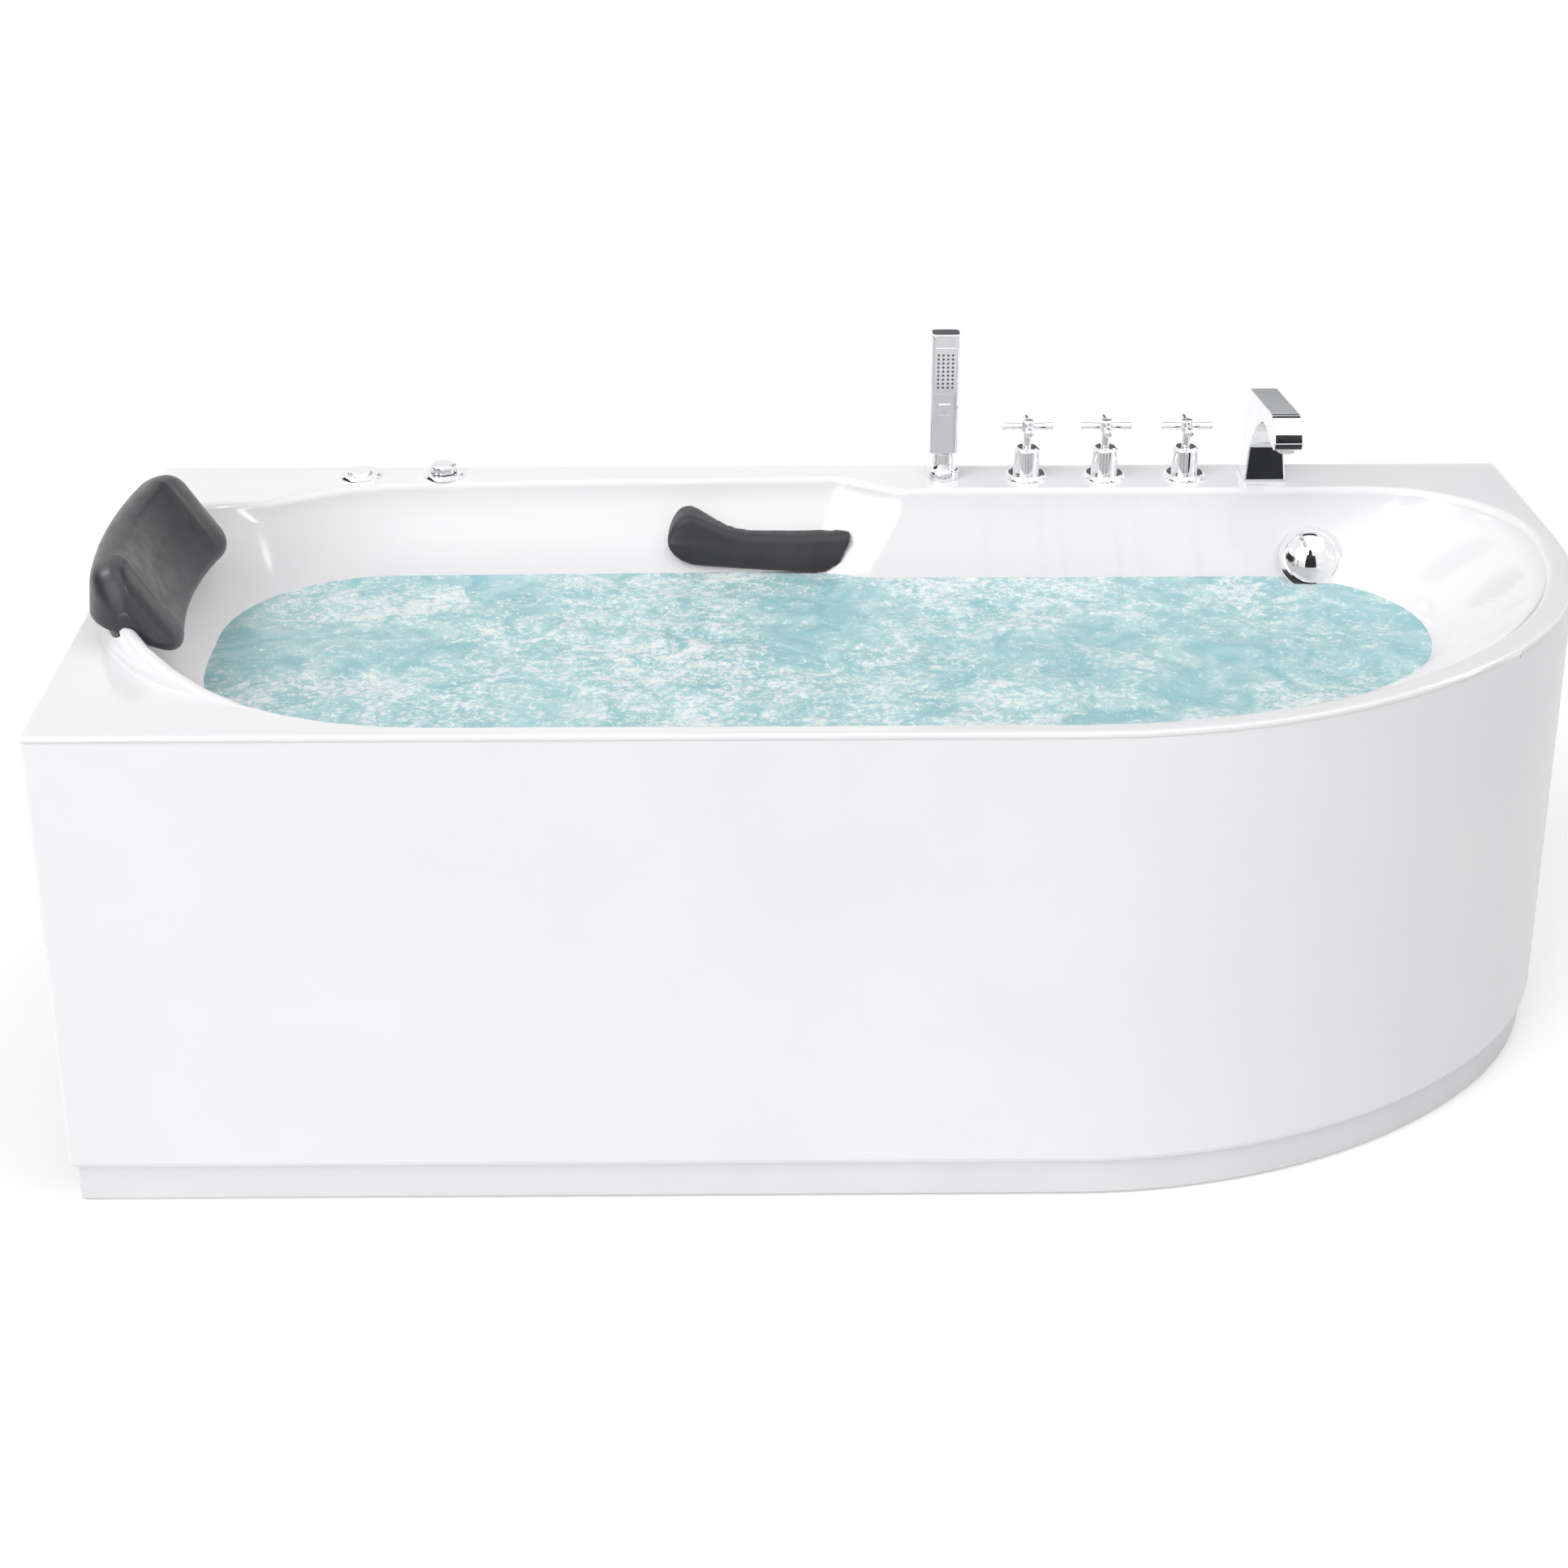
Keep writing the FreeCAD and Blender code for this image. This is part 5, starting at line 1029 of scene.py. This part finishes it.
def aerated_water():
    """Bath water full of air: turquoise swirls under drifts and specks of white froth.

    Drifts of froth are 260 mm across, swirls 60 mm and clots of froth 9 mm, which break up into
    specks of 1 to 2 mm, about the size of the larger real bubbles.
    """
    made, tree, where = bare_material("aerated_water")
    drifts = add(tree, "ShaderNodeTexNoise", "Fac", Vector=where, Scale=per(260), Detail=4.0,
                 Distortion=0.6)
    swirls = add(tree, "ShaderNodeTexNoise", "Fac", Vector=where, Scale=per(60), Detail=7.0,
                 Roughness=0.6, Distortion=1.2)
    clots = add(tree, "ShaderNodeTexNoise", "Fac", Vector=where, Scale=per(9), Detail=4.0,
                Roughness=0.85, Distortion=0.4)
    depth = add(tree, "ShaderNodeMapRange", "Result", Value=swirls, From_Min=0.36,
                From_Max=0.62)
    deep = add(tree, "ShaderNodeMix", "Result_Color", {"data_type": "RGBA"}, Factor_Float=depth,
               A_Color=colour("99CCD2"), B_Color=colour("BFE1E5"))
    spread = add(tree, "ShaderNodeMath", "Value", {"operation": "MULTIPLY_ADD"}, Value=drifts,
                 Value_001=0.5, Value_002=clots)
    laced = add(tree, "ShaderNodeMath", "Value", {"operation": "MULTIPLY_ADD"}, Value=swirls,
                Value_001=0.35, Value_002=spread)
    froth = add(tree, "ShaderNodeMapRange", "Result", Value=laced, From_Min=0.91, From_Max=1.03,
                To_Max=0.95)
    tone = add(tree, "ShaderNodeMix", "Result_Color", {"data_type": "RGBA"}, Factor_Float=froth,
               A_Color=deep, B_Color=colour("F7FBFB"))
    height = add(tree, "ShaderNodeMath", "Value", {"operation": "ADD"}, Value=clots,
                 Value_001=swirls)
    bump = add(tree, "ShaderNodeBump", "Normal", Height=height, Strength=0.5, Distance=5 * MM)
    skin = add(tree, "ShaderNodeBsdfPrincipled", "BSDF", Base_Color=tone, Normal=bump,
               Roughness=0.25, Specular_IOR_Level=0.3)
    add(tree, "ShaderNodeOutputMaterial", Surface=skin)
    return made


# The water is the bath's contents, so it belongs to the stage. It shades and tints nothing
# else, because real water would let the light through to the white walls under it.
water = finished("bath_water", water_surface(), aerated_water(), None)
water.visible_glossy = False
water.visible_diffuse = False
water.visible_shadow = False


def matt_floor():
    """Matt light grey paint, lifted to the world's white where camera and polish see it."""
    made, tree, where = bare_material("matt_floor_paint")
    mottle = add(tree, "ShaderNodeTexNoise", "Fac", Vector=where, Scale=per(900),
                 Detail=2.0)
    tone = add(tree, "ShaderNodeMix", "Result_Color", {"data_type": "RGBA"}, Factor_Float=mottle,
               A_Color=colour("DEDEDE"), B_Color=colour("E0E0E0"))
    camera_ray = add(tree, "ShaderNodeLightPath", "Is Camera Ray")
    glossy_ray = add(tree, "ShaderNodeLightPath", "Is Glossy Ray")
    seen = add(tree, "ShaderNodeMath", "Value", {"operation": "MAXIMUM"}, Value=camera_ray,
               Value_001=glossy_ray)
    lift = add(tree, "ShaderNodeMath", "Value", {"operation": "MULTIPLY"}, Value=seen,
               Value_001=FLOOR_LIFT)
    skin = add(tree, "ShaderNodeBsdfPrincipled", "BSDF", Base_Color=tone, Roughness=0.9,
               Specular_IOR_Level=0.1, Emission_Color=(1, 1, 1, 1), Emission_Strength=lift)
    add(tree, "ShaderNodeOutputMaterial", Surface=skin)
    return made


ground = bmesh.new()
bmesh.ops.create_grid(ground, x_segments=2, y_segments=2, size=FLOOR_HALF)
finished("studio_floor", ground, matt_floor(), None)

BLACK_CARD = moulded("black_card", ("202122", "2A2B2C"), (0.8, 0.9), 40, 5, 0.2)
GREY_CARD = moulded("grey_card", ("6E7073", "77797C"), (0.8, 0.9), 40, 5, 0.2)
PALE_CARD = moulded("pale_grey_card", ("BABBBD", "C2C3C5"), (0.8, 0.9), 40, 5, 0.2)


def card(name, low, high, material):
    """A card beside the set, between two corners, that only polished surfaces show."""
    mesh = bmesh.new()
    block(mesh, low, high)
    piece = finished(name, mesh, material, None)
    piece.visible_camera = False
    piece.visible_diffuse = False
    piece.visible_shadow = False
    piece.visible_transmission = False


# Cards that the spout and its nose mirror, slats that draw dark lines on the valves beside
# them, and large cards to the left, behind and above
SLAT_WIDTH = 8
card("card_under_spout", (528, 120, 480), (622, 122, 612), BLACK_CARD)
card("card_at_nose", (532, 40, 640), (600, 42, 860), BLACK_CARD)
for number, x in enumerate((190, 262, 290, 360, 388, 462)):
    card(f"card_slat_{number + 1}", (x, 150, 470), (x + SLAT_WIDTH, 152, 640), BLACK_CARD)
card("card_left", (-1900, -900, 700), (-1890, 700, 1500), BLACK_CARD)
card("card_behind_taps", (250, 2600, 1250), (2300, 2610, 2300), GREY_CARD)
card("card_above", (-300, 1500, 2300), (1500, 2200, 2310), BLACK_CARD)
card("card_over_spout", (600, 2600, 700), (1500, 2610, 1120), PALE_CARD)


def sun(name, strength, angle, turn):
    """A broad soft light from one side of the studio."""
    lamp = bpy.data.lights.new(name, "SUN")
    lamp.energy = strength
    lamp.angle = math.radians(angle)
    stand = bpy.data.objects.new(name, lamp)
    stand.rotation_euler = [math.radians(part) for part in turn]
    bpy.context.scene.collection.objects.link(stand)


def softbox(name, power, width, height, place, target, lights=False):
    """A lamp box that shows as a glint in what is glossy; it lights the rest only if asked."""
    lamp = bpy.data.lights.new(name, "AREA")
    lamp.shape = "RECTANGLE"
    lamp.energy = power
    lamp.size = width
    lamp.size_y = height
    stand = bpy.data.objects.new(name, lamp)
    stand.location = place
    stand.visible_diffuse = lights
    way = Vector(target) - Vector(place)
    stand.rotation_euler = way.to_track_quat("-Z", "Y").to_euler()
    bpy.context.scene.collection.objects.link(stand)


# Two suns light the set; the boxes, given in watts and metres, mostly make its glints
sun("key", 1.36, 50, (33, -37, 0))
sun("top", 0.92, 70, (5, 10, 0))
softbox("box_low", 11, 0.9, 0.6, (-1.6, -3.2, 0.35), (-0.5, -0.4, 0.3), lights=True)
softbox("box_left", 8, 0.45, 0.45, (-2.2, 0.6, 2.2), (-0.6, 0, 0.5))
softbox("box_foot", 6, 0.35, 0.35, (1.9, 1.2, 2.3), (0.6, 0.1, 0.5))
softbox("box_strip", 10, 0.22, 1.5, (3.0, -0.35, 1.2), (-0.6, 0.1, 0.5))

world = bpy.data.worlds.new("Studio")
bpy.context.scene.world = world
world.use_nodes = True
sky = world.node_tree
sky.nodes.clear()
camera_ray = add(sky, "ShaderNodeLightPath", "Is Camera Ray")
glossy_ray = add(sky, "ShaderNodeLightPath", "Is Glossy Ray")
through_ray = add(sky, "ShaderNodeLightPath", "Is Transmission Ray")
direct = add(sky, "ShaderNodeMath", "Value", {"operation": "MAXIMUM"}, Value=camera_ray,
             Value_001=glossy_ray)
shown = add(sky, "ShaderNodeMath", "Value", {"operation": "MAXIMUM"}, Value=direct,
            Value_001=through_ray)
strength = add(sky, "ShaderNodeMapRange", "Result", Value=shown, To_Min=WORLD_LIGHT,
               To_Max=1.0)
dome = add(sky, "ShaderNodeBackground", "Background", Color=(1, 1, 1, 1), Strength=strength)
add(sky, "ShaderNodeOutputWorld", Surface=dome)

# A pitched camera close to the photograph's, whose uprights were kept upright by a shift: how
# far it looks down and how far it is turned
CAMERA_DOWN = math.radians(23.14)
CAMERA_TURN = -0.0104
camera = bpy.data.objects.new("Camera", bpy.data.cameras.new("Camera"))
camera.data.sensor_width = 36
camera.data.lens = 65.2
camera.data.shift_y = -0.1
camera.data.clip_end = 200
camera.location = (-0.103, -3.0, 1.791)
camera.rotation_euler = (math.radians(90) - CAMERA_DOWN, 0, CAMERA_TURN)
bpy.context.scene.collection.objects.link(camera)
bpy.context.scene.camera = camera
bpy.context.scene.view_settings.view_transform = "Standard"
